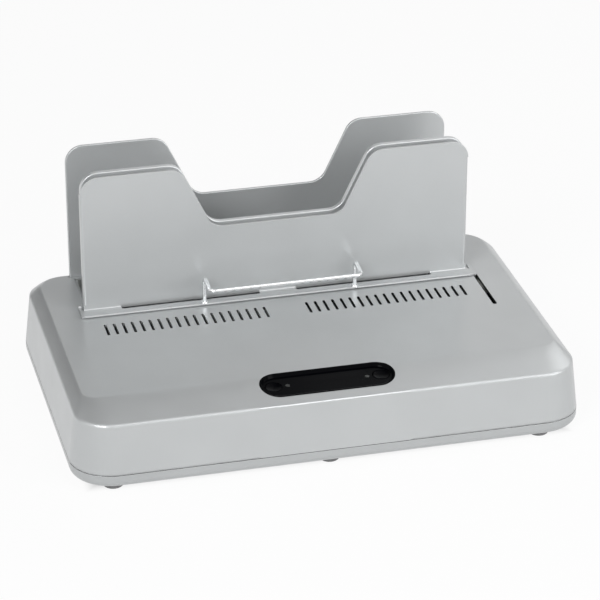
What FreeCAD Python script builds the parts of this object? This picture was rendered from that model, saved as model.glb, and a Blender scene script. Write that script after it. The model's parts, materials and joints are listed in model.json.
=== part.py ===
import FreeCAD, Part
import math
import os

from FreeCAD import Placement, Rotation, Vector

# Desk thermal binding machine. X runs to the right, Y to the back and Z up.
# The origin is the middle of the footprint, at the level that the feet stand on.
# All lengths are millimetres and all angles are degrees.

# Housing
body_width = 378.0
body_depth = 247.0
corner_radius = 27.0
wall_flare = 4.5
foot_height = 4.5
seam_height = 14.7
seam_gap = 0.35
deck_height = 60.0
crown_rise = 6.4
shoulder_bevel = 0.7
deck_side_inset = 8.4
deck_front_inset = 32.5
deck_front_corner = 12.0
deck_back_corner = 20.0
crown_step_shares = (0.0, 0.25, 0.5, 0.75, 1.0)
crown_power_share = 1.25
wall = 2.5
base_edge_round = 5.5
lip_rise = 1.6
lip_thickness = 1.2
cut_overrun = 8.0

# Clearances
seat_clearance = 0.3
running_fit = 0.05
press_clearance = 0.02
lip_clearance = 0.25

# Document guides
works_offset = -2.3
guide_side_margin = 36.5
guide_rear_margin = 9.7
guide_height = 111.0
front_guide_rise = 0.6
centre_guide_rise = 1.7
guide_corner = 14.0
notch_depth = 50.5
notch_floor_share = 0.3344
notch_top_share = 0.4938
guide_sheet = 1.5
sheet_bend_outer = 2.2
side_return_rise = 6.0
cooling_rest_gap = 4.9
front_guide_travel = 51.0
centre_guide_thickness = 4.5
centre_guide_edge_round = 0.9
centre_guide_side_step = 1.2
nesting_clearance = 0.6
binding_gap = 53.4
rear_guide_thickness = 2.5
rear_guide_edge_round = 0.8
guide_foot_rise = 0.6
guide_slot_clearance = 0.8

# Foot flange of the front guide
flange_reach = 11.0
flange_half_extra = 0.9
relief_depth = 3.6
relief_edge_rise = 0.8
tab_width = 29.0
inner_bend = 1.2
ear_reach_back = 7.5
ear_front_setback = 0.5
ear_slit_width = 1.0
ear_slit_inset = 2.1
ear_slit_reach = 0.6
ear_curl_radius = 1.5
left_ear_width = 3.4
right_ear_width = 6.1
tongue_reach_front = 8.5
tongue_reach_back = 5.0
tongue_drop_share = 0.2377

# Wire handle
wire_diameter = 3.2
wire_span = 119.6
wire_foot_setback = 2.5
wire_height = 21.8
wire_reach = 21.5
wire_droop = 2.3
wire_bend = 4.5
weld_radius = 2.3
weld_height = 1.0

# Openings in the deck
vent_count = 19
vent_width = 2.2
vent_length = 18.0
vent_setback = 41.7
vent_group_gap = 33.6
vent_end_margin = 11.7
guide_slot_width = 3.3
deck_rib_count = 5
deck_rib_pitch_share = 0.1534
deck_rib_thickness = 1.6
deck_rib_depth = 8.0
deck_rib_front_margin = 45.5
deck_rib_vent_gap = 11.3

# Slide under the deck
rod_radius = 3.0
rod_drop_share = 0.3132
rod_reach_front = 14.25
rod_reach_back = 16.75
block_width = 14.0
block_length = 36.0
block_foot_share = 0.415
block_top_drop = 6.0
bracket_sheet = 2.0
bracket_width = 14.0
bracket_foot_length = 14.0
bracket_inset = 4.0
bracket_top_margin = 6.0
clip_radius = 4.6
clip_thickness = 0.8
friction_plug_radius = 2.0

# Heating trough
trough_end_margin = 3.3
trough_wall = 1.2
trough_drop_share = 0.5283
trough_top_drop = 0.4
trough_corner = 3.0
heater_plate_rise = 10.0
heater_plate_thickness = 3.0
heater_plate_end_gap = 4.0
heater_plate_side_gap = 2.4
heater_plate_round = 1.0
element_thickness = 1.5
element_inner_end = 30.0
element_end_margin = 16.2
element_margin = 5.0
clamp_thickness = 1.2
clamp_margin = 2.0
standoff_radius = 2.8
standoff_bore = 1.3
standoff_end_margin = 9.2
standoff_inner_x = 22.0
standoff_edge_gap = 6.5
post_radius = 5.0
post_shoulder_radius = 6.2
post_end_margin = 31.2
post_edge_gap = 9.0
shield_rise_share = 0.48
shield_thickness = 0.8
shield_margin = 1.5
shield_lip_share = 0.24
thermostat_place_share = 0.2346
thermostat_radius = 8.0
thermostat_hole_gap = 1.5
thermostat_body_share = 0.545
thermostat_pin_share = 0.3
thermostat_pin_radius = 1.0
thermostat_pin_spread = 4.0
fuse_place_share = 0.2346
fuse_radius = 1.4
fuse_length = 12.0
fuse_lead_radius = 0.5
fuse_lead_length = 9.0

# Document sensor
sensor_pivot_inset = 14.1
sensor_pivot_drop_share = 0.36
sensor_pin_radius = 2.0
sensor_pin_overhang = 1.5
lever_width = 3.6
lever_hub_radius = 4.4
lever_nose_reach = 11.0
lever_nose_rise = 7.5
lever_nose_radius = 2.6
lever_nose_root_share = 0.8
lever_tail_share = 0.36
lever_tail_radius = 2.2
lever_tail_root_share = 0.7
lever_travel_angle = 33.0
lever_slot_lead = 1.5
lever_slot_back_margin = 6.7
lever_slot_width = 5.6
sensor_ear_sheet = 1.2
sensor_ear_gap = 0.9
sensor_ear_radius = 6.0
sensor_ear_reach = 15.0
sensor_shelf_share = 0.12
sensor_flange_length = 9.0
sensor_window_gap = 2.0
switch_length = 8.0
switch_width = 6.4
switch_height_share = 0.24
switch_gap = 0.5
switch_plunger_radius = 0.9
switch_plunger_rise = 0.8
spring_wire_radius = 0.35
spring_turns = 3
spring_pitch = 0.85
spring_radius = 2.45
spring_leg = 7.0

# Control strip, in the frame of its own sloping face
strip_x = -0.3
strip_front_margin = 23.75
strip_drop = 3.2
strip_tilt = 4.6
strip_length = 100.0
strip_width = 26.7
strip_ledge = 1.5
strip_ledge_depth = 2.0
strip_well_wall = 2.0
lens_thickness = 3.0
button_end_margin = 9.2
button_radius = 6.3
button_gap = 0.35
button_travel = 1.2
button_dish = 0.7
button_edge = 0.6
button_flange_width = 1.1
button_flange_height = 1.3
button_stem_radius = 2.0
button_stem_length = 3.6
lamp_end_margin = 19.9
lamp_radius = 1.7
lamp_proud = 0.15
lamp_pipe_length = 7.0
board_thickness = 1.6
board_overhang = 12.0
board_width = 21.0
board_boss_inset = 4.5
board_boss_radius = 3.2
key_switch_size = 6.2
key_switch_height = 3.4
key_case_share = 0.8
led_size = 3.2
led_height = 2.0

# Power board and its parts
power_board_side_margin = 37.0
power_board_front_margin = 36.0
power_board_length = 96.0
power_board_width = 62.0
power_board_rise = 7.0
board_post_radius = 3.5
board_post_inset = 5.0
transformer_length = 34.0
transformer_width = 28.0
transformer_height = 22.0
transformer_core_width = 12.0
transformer_coil_margin = 4.0
transformer_inset_x = 12.0
transformer_inset_y = 10.0
relay_length = 19.0
relay_width = 15.0
relay_height = 15.0
relay_x = 56.0
relay_y = 8.0
capacitor_radius = 5.0
capacitor_height = 16.0
capacitor_round = 0.5
capacitor_x = 60.0
capacitor_y = 36.0
capacitor_pitch = 12.0
terminal_length = 30.0
terminal_width = 8.0
terminal_height = 10.0
terminal_x = 14.0
terminal_y = 50.0
terminal_bore = 1.8
terminal_count = 5
buzzer_radius = 7.0
buzzer_height = 7.0
buzzer_hole = 1.2
buzzer_x = 86.0
buzzer_y = 18.0

# Mains inlet in the rear wall
inlet_side_margin = 57.0
inlet_rise_share = 0.76
inlet_width = 18.0
inlet_height = 11.0
inlet_corner = 3.0
inlet_flange = 1.6
inlet_flange_thickness = 1.6
inlet_depth = 11.0
inlet_socket_radius = 4.1
inlet_socket_spread = 3.2
inlet_socket_waist = 3.2
inlet_socket_depth = 10.0
inlet_pin_radius = 1.2
inlet_pin_length = 9.0
inlet_pin_spread = 4.3
inlet_well_margin = 1.0
inlet_well_wall = 1.5
inlet_well_margin_back = 4.5
inlet_tag_length = 6.0
inlet_tag_thickness = 0.8

# Leads inside the housing
lead_radius = 1.1
lead_bend = 4.0
lead_rise_front = 14.0
lead_rise_back = 3.0
lead_turn_back = 36.0
lead_turn_step = 6.0
lead_run = 22.0

# Fixings and feet
foot_radius = 7.6
foot_round = 1.6
foot_recess = 1.0
foot_side_margin = 27.0
foot_front_margin = 9.8
foot_back_margin = 13.5
screw_radius = 1.5
screw_head_radius = 3.0
screw_head_height = 2.0
boss_radius = 4.6
boss_rise_share = 0.434
housing_screw_length = 16.0
housing_screw_grip = 8.0
side_boss_margin = 17.0
side_boss_front_margin = 43.5
side_boss_back_margin = 37.5
middle_boss_front_margin = 57.5
middle_boss_guide_gap = 14.0
guide_screw_end_margin = 49.2
guide_screw_rise = 4.1
guide_screw_head = 2.6
guide_spacer_length = 4.1
guide_spacer_radius = 3.6
small_screw_length = 6.0
base_vent_count = 12
base_vent_pitch = 9.0
base_vent_width = 3.0
base_vent_length_share = 0.69
base_vent_inset = 6.1

# Heights that follow from the sizes above
shoulder_height = deck_height - crown_rise
deck_underside = deck_height - wall
base_floor = foot_height + wall
base_top = seam_height - seam_gap / 2
housing_foot = seam_height + seam_gap / 2
works_height = deck_height - base_floor
guide_top = deck_height + guide_height
front_guide_top = guide_top + front_guide_rise
centre_guide_top = guide_top + centre_guide_rise
side_return_foot = deck_height + side_return_rise
flange_foot = deck_height + seat_clearance + running_fit
flange_top = flange_foot + guide_sheet
tongue_foot = deck_height - works_height * tongue_drop_share
rod_height = deck_height - works_height * rod_drop_share
block_foot = deck_height - works_height * block_foot_share
block_top = deck_height - block_top_drop
trough_floor = deck_height - works_height * trough_drop_share
trough_top = deck_height - trough_top_drop
heater_plate_top = trough_floor + heater_plate_rise
plate_foot = heater_plate_top - heater_plate_thickness
element_foot = plate_foot - element_thickness
clamp_foot = element_foot - clamp_thickness
guide_foot_height = trough_floor + guide_foot_rise
guide_screw_z = trough_floor + guide_screw_rise
below_trough = trough_floor - base_floor
shield_height = base_floor + below_trough * shield_rise_share
shield_lip = below_trough * shield_lip_share
thermostat_room = clamp_foot - shield_height - shield_thickness
thermostat_height = thermostat_room * thermostat_body_share
thermostat_pin_length = thermostat_room * thermostat_pin_share
sensor_pivot_z = trough_floor - below_trough * sensor_pivot_drop_share
sensor_shelf_height = base_floor + below_trough * sensor_shelf_share
switch_height = below_trough * switch_height_share
lever_tail_z = sensor_pivot_z - below_trough * lever_tail_share
lever_nose_z = heater_plate_top + lever_nose_rise
strip_z = deck_height - strip_drop
inlet_z = base_floor + below_trough * inlet_rise_share
power_board_height = base_floor + power_board_rise
boss_foot = base_floor + works_height * boss_rise_share
housing_screw_seat = boss_foot - housing_screw_grip

# Places from front to back that follow from the sizes above
body_front = -body_depth / 2
body_back = body_depth / 2
rear_guide_back = body_back - guide_rear_margin
rear_guide_front = rear_guide_back - rear_guide_thickness
centre_guide_back = rear_guide_front - binding_gap
centre_guide_front = centre_guide_back - centre_guide_thickness
front_sheet_back = centre_guide_front - cooling_rest_gap
front_guide_face = front_sheet_back - guide_sheet
trough_front = centre_guide_back
trough_back = rear_guide_front - guide_spacer_length
flange_front = front_guide_face - flange_reach
ear_rear = front_guide_face + ear_reach_back
ear_slit_front = front_guide_face - ear_slit_reach
tongue_front = front_guide_face - tongue_reach_front
tongue_rear = front_guide_face + tongue_reach_back
guide_slot_front = flange_front - front_guide_travel
vent_front = front_guide_face - vent_setback
deck_rib_front = body_front + deck_rib_front_margin
deck_rib_back = vent_front - deck_rib_vent_gap
block_front = (tongue_front + tongue_rear - block_length) / 2
block_back = block_front + block_length
rod_front = block_front - front_guide_travel - rod_reach_front
rod_back = block_back + rod_reach_back
sensor_pivot_y = trough_front + sensor_pivot_inset
sensor_ear_front = sensor_pivot_y - sensor_ear_reach
lever_nose_y = sensor_pivot_y + lever_nose_reach
lever_tail_y = sensor_pivot_y
lever_slot_front = sensor_pivot_y - lever_slot_lead
lever_slot_back = trough_back - lever_slot_back_margin
strip_y = body_front + strip_front_margin
power_board_y = body_front + power_board_front_margin
inlet_well_floor = body_back - inlet_well_margin_back
foot_front_y = body_front + foot_front_margin
foot_back_y = body_back - foot_back_margin
side_boss_front_y = body_front + side_boss_front_margin
side_boss_back_y = body_back - side_boss_back_margin
middle_boss_front_y = body_front + middle_boss_front_margin
middle_boss_back_y = front_guide_face - middle_boss_guide_gap
base_vent_front = trough_front + base_vent_inset
base_vent_length = (trough_back - trough_front) * base_vent_length_share

# Places from side to side that follow from the sizes above
guide_width = body_width - 2 * guide_side_margin
notch_floor_width = guide_width * notch_floor_share
notch_top_width = guide_width * notch_top_share
vent_pitch = (guide_width / 2 - vent_group_gap / 2 - vent_end_margin) / (vent_count - 1)
deck_rib_pitch = body_width * deck_rib_pitch_share
slot_x = works_offset + guide_width / 2 + right_ear_width - guide_sheet / 2
trough_length = guide_width - 2 * trough_end_margin
element_outer_end = trough_length / 2 - element_end_margin
standoff_outer_x = trough_length / 2 - standoff_end_margin
post_x = trough_length / 2 - post_end_margin
thermostat_x = -trough_length * thermostat_place_share
fuse_x = trough_length * fuse_place_share
guide_screw_spread = trough_length / 2 - guide_screw_end_margin
button_spacing = strip_length - 2 * button_end_margin
lamp_spacing = strip_length - 2 * lamp_end_margin
board_length = strip_length + 2 * board_overhang
board_boss_x = board_length / 2 - board_boss_inset
power_board_x = power_board_side_margin - body_width / 2
inlet_x = inlet_side_margin - body_width / 2
foot_spread = body_width / 2 - foot_side_margin
side_boss_x = body_width / 2 - side_boss_margin
strip_frame = Placement(Vector(strip_x, strip_y, strip_z), Rotation(Vector(1, 0, 0), strip_tilt))


def box(x0, x1, y0, y1, z0, z1):
    """Block between two corners."""
    return Part.makeBox(x1 - x0, y1 - y0, z1 - z0, Vector(x0, y0, z0))


def rod(radius, start, end):
    """Round bar from one point to another."""
    along = end - start
    return Part.makeCylinder(radius, along.Length, start, along)


def upright(radius, x, y, z0, z1):
    """Round post standing along Z."""
    return rod(radius, Vector(x, y, z0), Vector(x, y, z1))


def flat(u, v):
    """Point of an outline that lies level."""
    return Vector(u, v, 0)


def facing(u, v):
    """Point of an outline that stands facing the front."""
    return Vector(u, 0, v)


def sideways(u, v):
    """Point of an outline seen from the side, as Y and Z."""
    return Vector(0, u, v)


def rounded_face(corners, radii, place):
    """Flat face with straight sides and a round of its own at each corner."""
    points = [place(u, v) for u, v in corners]
    count = len(points)
    edges = []
    starts = []
    ends = []
    middles = []
    for index, point in enumerate(points):
        before = (points[index - 1] - point).normalize()
        after = (points[(index + 1) % count] - point).normalize()
        radius = radii[index]
        half = before.getAngle(after) / 2
        reach = radius / math.tan(half)
        starts.append(point + before * reach)
        ends.append(point + after * reach)
        inward = (before + after).normalize()
        middles.append(point + inward * (radius / math.sin(half) - radius))
    for index in range(count):
        if radii[index] > 0:
            edges.append(Part.Arc(starts[index], middles[index], ends[index]).toShape())
        edges.append(Part.makeLine(ends[index], starts[(index + 1) % count]))
    return Part.Face(Part.Wire(edges))


def stadium(length, width, thickness):
    """Oval plate with round ends, along X, centred, from Z nought upwards."""
    half = length / 2
    side = width / 2
    corners = [(-half, -side), (half, -side), (half, side), (-half, side)]
    end_round = side - press_clearance
    return rounded_face(corners, [end_round] * 4, flat).extrude(Vector(0, 0, thickness))


def slot_along_y(x, y0, y1, width, z0, z1):
    """Upright cutter for a slot with round ends that runs along Y."""
    bar = stadium(y1 - y0, width, z1 - z0)
    bar.rotate(Vector(0, 0, 0), Vector(0, 0, 1), 90)
    bar.translate(Vector(x, (y0 + y1) / 2, z0))
    return bar


def ring(width, front, back, front_corner, back_corner, z):
    """Level rounded rectangle, symmetrical about X nought."""
    half = width / 2
    up = Vector(0, 0, 1)
    front_x = half - front_corner
    back_x = half - back_corner
    front_y = front + front_corner
    back_y = back - back_corner
    edges = [
        Part.makeLine(Vector(-front_x, front, z), Vector(front_x, front, z)),
        Part.makeCircle(front_corner, Vector(front_x, front_y, z), up, 270, 360),
        Part.makeLine(Vector(half, front_y, z), Vector(half, back_y, z)),
        Part.makeCircle(back_corner, Vector(back_x, back_y, z), up, 0, 90),
        Part.makeLine(Vector(back_x, back, z), Vector(-back_x, back, z)),
        Part.makeCircle(back_corner, Vector(-back_x, back_y, z), up, 90, 180),
        Part.makeLine(Vector(-half, back_y, z), Vector(-half, front_y, z)),
        Part.makeCircle(front_corner, Vector(-front_x, front_y, z), up, 180, 270),
    ]
    return Part.Wire(edges)


def wall_ring(z, inset):
    """Section of the flared side walls at one height."""
    spread = wall_flare * (shoulder_height - z) / (shoulder_height - seam_height) - inset
    front = -body_depth / 2 - spread
    back = body_depth / 2 + spread
    corner = corner_radius + spread
    return ring(body_width + 2 * spread, front, back, corner, corner, z)


def crown_ring(share, inset, drop):
    """Section of the crowned top, from the shoulder at nought to the deck at one."""
    side = deck_side_inset * share + inset
    rise = (deck_height - shoulder_height) * (1 - (1 - share) ** crown_power_share)
    front = -body_depth / 2 + deck_front_inset * share + inset
    front_corner = corner_radius + (deck_front_corner - corner_radius) * share - inset
    back_corner = corner_radius + (deck_back_corner - corner_radius) * share - inset
    z = shoulder_height + rise - drop
    return ring(body_width - 2 * side, front, body_depth / 2 - side, front_corner, back_corner, z)


def crowned_block(foot, inset, drop, bevel):
    """Solid of the upper housing's outer or inner skin."""
    top_of_wall = shoulder_height - drop - bevel
    rings = [wall_ring(foot, inset), wall_ring(top_of_wall, inset)]
    crown = [crown_ring(share, inset + bevel, drop) for share in crown_step_shares]
    walls = Part.makeLoft(rings, True, True)
    top = Part.makeLoft(crown, True, False)
    if bevel > 0:
        edge = Part.makeLoft([rings[1], crown[0]], True, True)
        return walls.fuse([edge, top])
    neck = Part.makeLoft([rings[1], wall_ring(top_of_wall + wall, inset)], True, True)
    return walls.fuse([neck.common(top), top])


def boss_places():
    """Centres of the screws that hold the housing together."""
    return [
        (side_boss_x, side_boss_front_y), (-side_boss_x, side_boss_front_y),
        (side_boss_x, side_boss_back_y), (-side_boss_x, side_boss_back_y),
        (works_offset, middle_boss_front_y), (works_offset, middle_boss_back_y),
    ]


def vent_places():
    """Centre lines of the vent slots in both groups."""
    reach = vent_group_gap / 2
    places = []
    for index in range(vent_count):
        step = reach + index * vent_pitch
        places += [works_offset - step, works_offset + step]
    return places


def relief_spans():
    """X spans of the two long gaps between the bend tabs of the front guide."""
    outer = guide_width / 2 - tab_width
    inner = tab_width / 2
    return [
        (works_offset - outer, works_offset - inner),
        (works_offset + inner, works_offset + outer),
    ]


def deck_cutters():
    """All the openings through the flat deck."""
    low = deck_underside - cut_overrun
    high = deck_height + cut_overrun
    cutters = []
    for x in vent_places():
        cutters.append(slot_along_y(x, vent_front, vent_front + vent_length, vent_width, low, high))
    slot_back = ear_rear + guide_slot_clearance
    cutters.append(slot_along_y(slot_x, guide_slot_front, slot_back, guide_slot_width, low, high))
    half = trough_length / 2 + seat_clearance
    opening_front = centre_guide_front - seat_clearance
    opening_back = trough_back + seat_clearance
    cutters.append(box(works_offset - half, works_offset + half, opening_front, opening_back, low, high))
    guide_half = guide_width / 2 + guide_slot_clearance
    rear_front = rear_guide_front - seat_clearance
    rear_back = rear_guide_back + seat_clearance
    cutters.append(box(works_offset - guide_half, works_offset + guide_half, rear_front, rear_back, low, high))
    for start, end in relief_spans():
        cooling_front = front_guide_face - relief_depth
        cutters.append(box(start, end, cooling_front, centre_guide_front, low, high))
    return cutters


def strip_well(inside):
    """Moulded well that carries the control window, and the cutters that open it."""
    depth = lens_thickness + strip_ledge_depth
    outer = stadium(strip_length + 2 * strip_well_wall, strip_width + 2 * strip_well_wall, depth + cut_overrun)
    outer.translate(Vector(0, 0, -depth))
    outer.Placement = strip_frame.multiply(outer.Placement)
    pocket = stadium(strip_length, strip_width, lens_thickness + cut_overrun)
    pocket.translate(Vector(0, 0, -lens_thickness))
    through_length = strip_length - 2 * strip_ledge
    through_width = strip_width - 2 * strip_ledge
    through = stadium(through_length, through_width, depth + 2 * cut_overrun)
    through.translate(Vector(0, 0, -depth - cut_overrun))
    for cutter in (pocket, through):
        cutter.Placement = strip_frame.multiply(cutter.Placement)
    return outer.common(inside), [pocket, through]


def board_top():
    """Level of the control board's upper face below the window's face."""
    stem_foot = lens_thickness + seat_clearance + button_flange_height + button_stem_length
    return -(stem_foot + button_travel + seat_clearance + key_switch_height)


def board_bosses(inside):
    """Posts under the crown that the control board is screwed to."""
    foot = board_top()
    posts = []
    for side in (-1, 1):
        post = upright(board_boss_radius, side * board_boss_x, 0, foot, cut_overrun)
        post.Placement = strip_frame.multiply(post.Placement)
        posts.append(post.common(inside))
    return posts


def inlet_well():
    """Pocket in the rear wall that the mains inlet sits in, as walls and cutters."""
    half = inlet_width / 2 + inlet_flange + inlet_well_margin
    rise = inlet_height / 2 + inlet_flange + inlet_well_margin
    back = body_depth / 2 + wall_flare + cut_overrun
    side = half + inlet_well_wall
    reach = rise + inlet_well_wall
    walls = box(inlet_x - side, inlet_x + side, inlet_well_floor - inlet_well_wall, back,
                inlet_z - reach, inlet_z + reach)
    pocket = box(inlet_x - half, inlet_x + half, inlet_well_floor, back, inlet_z - rise, inlet_z + rise)
    hole_half = inlet_width / 2 + seat_clearance
    hole_rise = inlet_height / 2 + seat_clearance
    hole = box(inlet_x - hole_half, inlet_x + hole_half, inlet_well_floor - cut_overrun, back,
               inlet_z - hole_rise, inlet_z + hole_rise)
    return walls, [pocket, hole]


def upper_housing():
    """Moulded top shell with its deck openings, bosses, ribs and wells."""
    outer = crowned_block(housing_foot, 0, 0, shoulder_bevel)
    inner = crowned_block(housing_foot - cut_overrun, wall, wall, 0)
    shell = outer.cut(inner)
    well, well_cutters = strip_well(outer)
    inlet_walls, inlet_cutters = inlet_well()
    extras = [well, inlet_walls.common(outer)]
    extras += board_bosses(outer)
    for x, y in boss_places():
        extras.append(upright(boss_radius, x, y, boss_foot, deck_underside + wall / 2).common(outer))
    first = -(deck_rib_count - 1) / 2 * deck_rib_pitch
    for index in range(deck_rib_count):
        x = first + index * deck_rib_pitch - deck_rib_thickness / 2
        extras.append(box(x, x + deck_rib_thickness, deck_rib_front, deck_rib_back,
                          deck_underside - deck_rib_depth, deck_underside + wall / 2))
    shell = shell.fuse(extras)
    pilots = [upright(screw_radius, x, y, boss_foot - cut_overrun, boss_foot + housing_screw_length)
              for x, y in boss_places()]
    return shell.cut(deck_cutters() + well_cutters + inlet_cutters + pilots)


def post_places():
    """Centres of the four posts that carry the heating trough."""
    near = trough_front + post_edge_gap
    far = trough_back - post_edge_gap
    return [(works_offset + side * post_x, y) for side in (-1, 1) for y in (near, far)]


def power_board_posts():
    """Centres of the posts under the power board."""
    left = power_board_x + board_post_inset
    right = power_board_x + power_board_length - board_post_inset
    front = power_board_y + board_post_inset
    back = power_board_y + power_board_width - board_post_inset
    return [(left, front), (right, front), (left, back), (right, back)]


def foot_places():
    """Centres of the rubber feet."""
    return [(works_offset + column * foot_spread, y)
            for column in (-1, 0, 1) for y in (foot_front_y, foot_back_y)]


def bottom_cover():
    """Tray with its rounded lower edge, lip, posts, vents and screw columns."""
    section = wall_ring(seam_height, 0)
    outer = Part.Face(section).extrude(Vector(0, 0, base_top - foot_height))
    outer.translate(Vector(0, 0, foot_height - seam_height))
    lower = [edge for edge in outer.Edges if edge.BoundBox.ZMax < foot_height + seam_gap / 2]
    outer = outer.makeFillet(base_edge_round, lower)
    inner = Part.Face(wall_ring(seam_height, wall)).extrude(Vector(0, 0, seam_height))
    inner.translate(Vector(0, 0, base_floor - seam_height))
    tray = outer.cut(inner)
    inset = wall + lip_clearance
    lip_foot = base_floor
    lip = Part.Face(wall_ring(seam_height + lip_rise, inset))
    lip = lip.extrude(Vector(0, 0, base_top + lip_rise - lip_foot))
    lip.translate(Vector(0, 0, lip_foot - seam_height - lip_rise))
    hollow = Part.Face(wall_ring(seam_height + lip_rise, inset + lip_thickness))
    hollow = hollow.extrude(Vector(0, 0, seam_height + 2 * lip_rise))
    hollow.translate(Vector(0, 0, base_floor - seam_height - lip_rise))
    ledge = Part.Face(wall_ring(seam_height, wall / 2)).extrude(Vector(0, 0, base_top - base_floor))
    ledge.translate(Vector(0, 0, base_floor - seam_height))
    extras = [lip.cut(hollow), ledge.cut(hollow)]
    tray_floor = base_floor - wall / 2
    for x, y in boss_places():
        extras.append(upright(boss_radius, x, y, tray_floor, boss_foot))
    for x, y in post_places():
        extras.append(upright(post_shoulder_radius, x, y, tray_floor, shield_height))
        extras.append(upright(post_radius, x, y, tray_floor, trough_floor))
    for x, y in power_board_posts():
        extras.append(upright(board_post_radius, x, y, tray_floor, power_board_height))
    tray = tray.fuse(extras)
    cutters = []
    for x, y in boss_places():
        cutters.append(upright(screw_radius + seat_clearance, x, y, 0, boss_foot + cut_overrun))
        head_room = screw_head_radius + seat_clearance
        cutters.append(upright(head_room, x, y, 0, housing_screw_seat))
    for x, y in foot_places():
        cutters.append(upright(foot_radius + running_fit, x, y, 0, foot_height + foot_recess))
    first = works_offset - (base_vent_count - 1) / 2 * base_vent_pitch
    for index in range(base_vent_count):
        x = first + index * base_vent_pitch
        back = base_vent_front + base_vent_length
        cutters.append(slot_along_y(x, base_vent_front, back, base_vent_width, 0, base_floor + wall))
    for x, y in post_places():
        cutters.append(upright(screw_radius, x, y, shield_height, trough_floor + cut_overrun))
    return tray.cut(cutters)


def rubber_feet():
    """Six soft feet, pressed into shallow recesses under the tray."""
    feet = []
    for x, y in foot_places():
        foot = upright(foot_radius, x, y, 0, foot_height + foot_recess)
        lower = [edge for edge in foot.Edges if edge.BoundBox.ZMax < foot_round]
        feet.append(foot.makeFillet(foot_round, lower))
    return feet


def guide_sheet_face(half_width, foot, top):
    """Standing outline of a document guide, with its finger notch."""
    floor_half = notch_floor_width / 2
    top_half = notch_top_width / 2
    notch_floor = top - notch_depth
    corners = [
        (-half_width, foot), (half_width, foot), (half_width, top), (top_half, top),
        (floor_half, notch_floor), (-floor_half, notch_floor),
        (-top_half, top), (-half_width, top),
    ]
    radii = [0, 0] + [guide_corner] * 6
    face = rounded_face(corners, radii, facing)
    face.translate(Vector(works_offset, 0, 0))
    return face


def side_return(side):
    """Folded edge of the front guide, on its left or right."""
    outer_x = side * guide_width / 2
    inner_x = outer_x - side * guide_sheet
    back = centre_guide_front - nesting_clearance
    land = outer_x - side * 2 * sheet_bend_outer
    corners = [
        (land, front_guide_face), (outer_x, front_guide_face), (outer_x, back),
        (inner_x, back), (inner_x, front_sheet_back), (land, front_sheet_back),
    ]
    radii = [0, sheet_bend_outer, 0, 0, sheet_bend_outer - guide_sheet, 0]
    top = front_guide_top - guide_corner
    fold = rounded_face(corners, radii, flat).extrude(Vector(0, 0, top - side_return_foot))
    fold.translate(Vector(works_offset, 0, side_return_foot))
    return fold


def flange_section(x0, x1):
    """Foot flange with its fully rounded front edge, over one stretch of its length."""
    strip_back = front_guide_face - relief_depth
    corners = [
        (flange_front, flange_foot), (strip_back, flange_foot),
        (strip_back, flange_top), (flange_front, flange_top),
    ]
    soft = guide_sheet / 2 - press_clearance
    radii = [soft, 0, 0, soft]
    strip = rounded_face(corners, radii, sideways).extrude(Vector(x1 - x0, 0, 0))
    strip.translate(Vector(x0, 0, 0))
    return strip


def bend_tab(x0, x1):
    """Short bend that joins the standing sheet to its foot flange."""
    tab_top = flange_foot + relief_edge_rise + guide_sheet * 2
    front = front_guide_face - relief_depth
    corners = [
        (front_guide_face, tab_top), (front_guide_face, flange_top), (front, flange_top),
        (front, flange_foot), (front_sheet_back, flange_foot), (front_sheet_back, tab_top),
    ]
    radii = [0, inner_bend, 0, 0, inner_bend + guide_sheet, 0]
    tab = rounded_face(corners, radii, sideways).extrude(Vector(x1 - x0, 0, 0))
    tab.translate(Vector(x0, 0, 0))
    return tab


def guide_ears():
    """Ends of the foot flange: a curled glide on the left and the slide tongue on the right."""
    half = guide_width / 2
    left_outer = works_offset - half - left_ear_width
    right_outer = works_offset + half + right_ear_width
    ear_front = flange_front + ear_front_setback
    left = box(left_outer, works_offset - half, ear_front, ear_rear - ear_curl_radius, flange_foot, flange_top)
    curl_y = ear_rear - ear_curl_radius
    curl_z = flange_foot + ear_curl_radius
    curl = rod(ear_curl_radius, Vector(left_outer, curl_y, curl_z), Vector(works_offset - half, curl_y, curl_z))
    right = box(works_offset + half, right_outer, ear_front, ear_rear, flange_foot, flange_top)
    tongue = box(right_outer - guide_sheet, right_outer, tongue_front, tongue_rear, tongue_foot, flange_top)
    slits = []
    slit_back = ear_rear + cut_overrun
    for side in (-1, 1):
        edge = works_offset + side * (half + ear_slit_inset)
        if side < 0:
            edge = works_offset - half - ear_slit_width
        slits.append(box(edge, edge + ear_slit_width, ear_slit_front, slit_back,
                         flange_foot - seat_clearance, flange_top + 2 * ear_curl_radius))
    return [left, curl, right, tongue], slits


def front_guide():
    """Sliding guide: sheet, folded sides, foot flange, bend tabs and ears in one piece."""
    half = guide_width / 2
    relief_edge = flange_foot + relief_edge_rise
    sheet = guide_sheet_face(half, relief_edge, front_guide_top).extrude(Vector(0, guide_sheet, 0))
    sheet.translate(Vector(0, front_guide_face, 0))
    fold_top = front_guide_top - guide_corner
    for side in (-1, 1):
        strip_inner = works_offset + side * (half - 2 * sheet_bend_outer)
        strip_outer = works_offset + side * (half + sheet_bend_outer)
        strip = box(min(strip_inner, strip_outer), max(strip_inner, strip_outer),
                    front_guide_face - sheet_bend_outer, front_sheet_back + sheet_bend_outer,
                    side_return_foot, fold_top)
        sheet = sheet.cut(strip)
    flange_half = half + flange_half_extra
    pieces = [side_return(-1), side_return(1)]
    pieces.append(flange_section(works_offset - flange_half, works_offset + flange_half))
    tab_half = tab_width / 2
    for x0, x1 in ((-half, -half + tab_width), (-tab_half, tab_half), (half - tab_width, half)):
        pieces.append(bend_tab(works_offset + x0, works_offset + x1))
    ears, slits = guide_ears()
    return sheet.fuse(pieces + ears).cut(slits)


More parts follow.
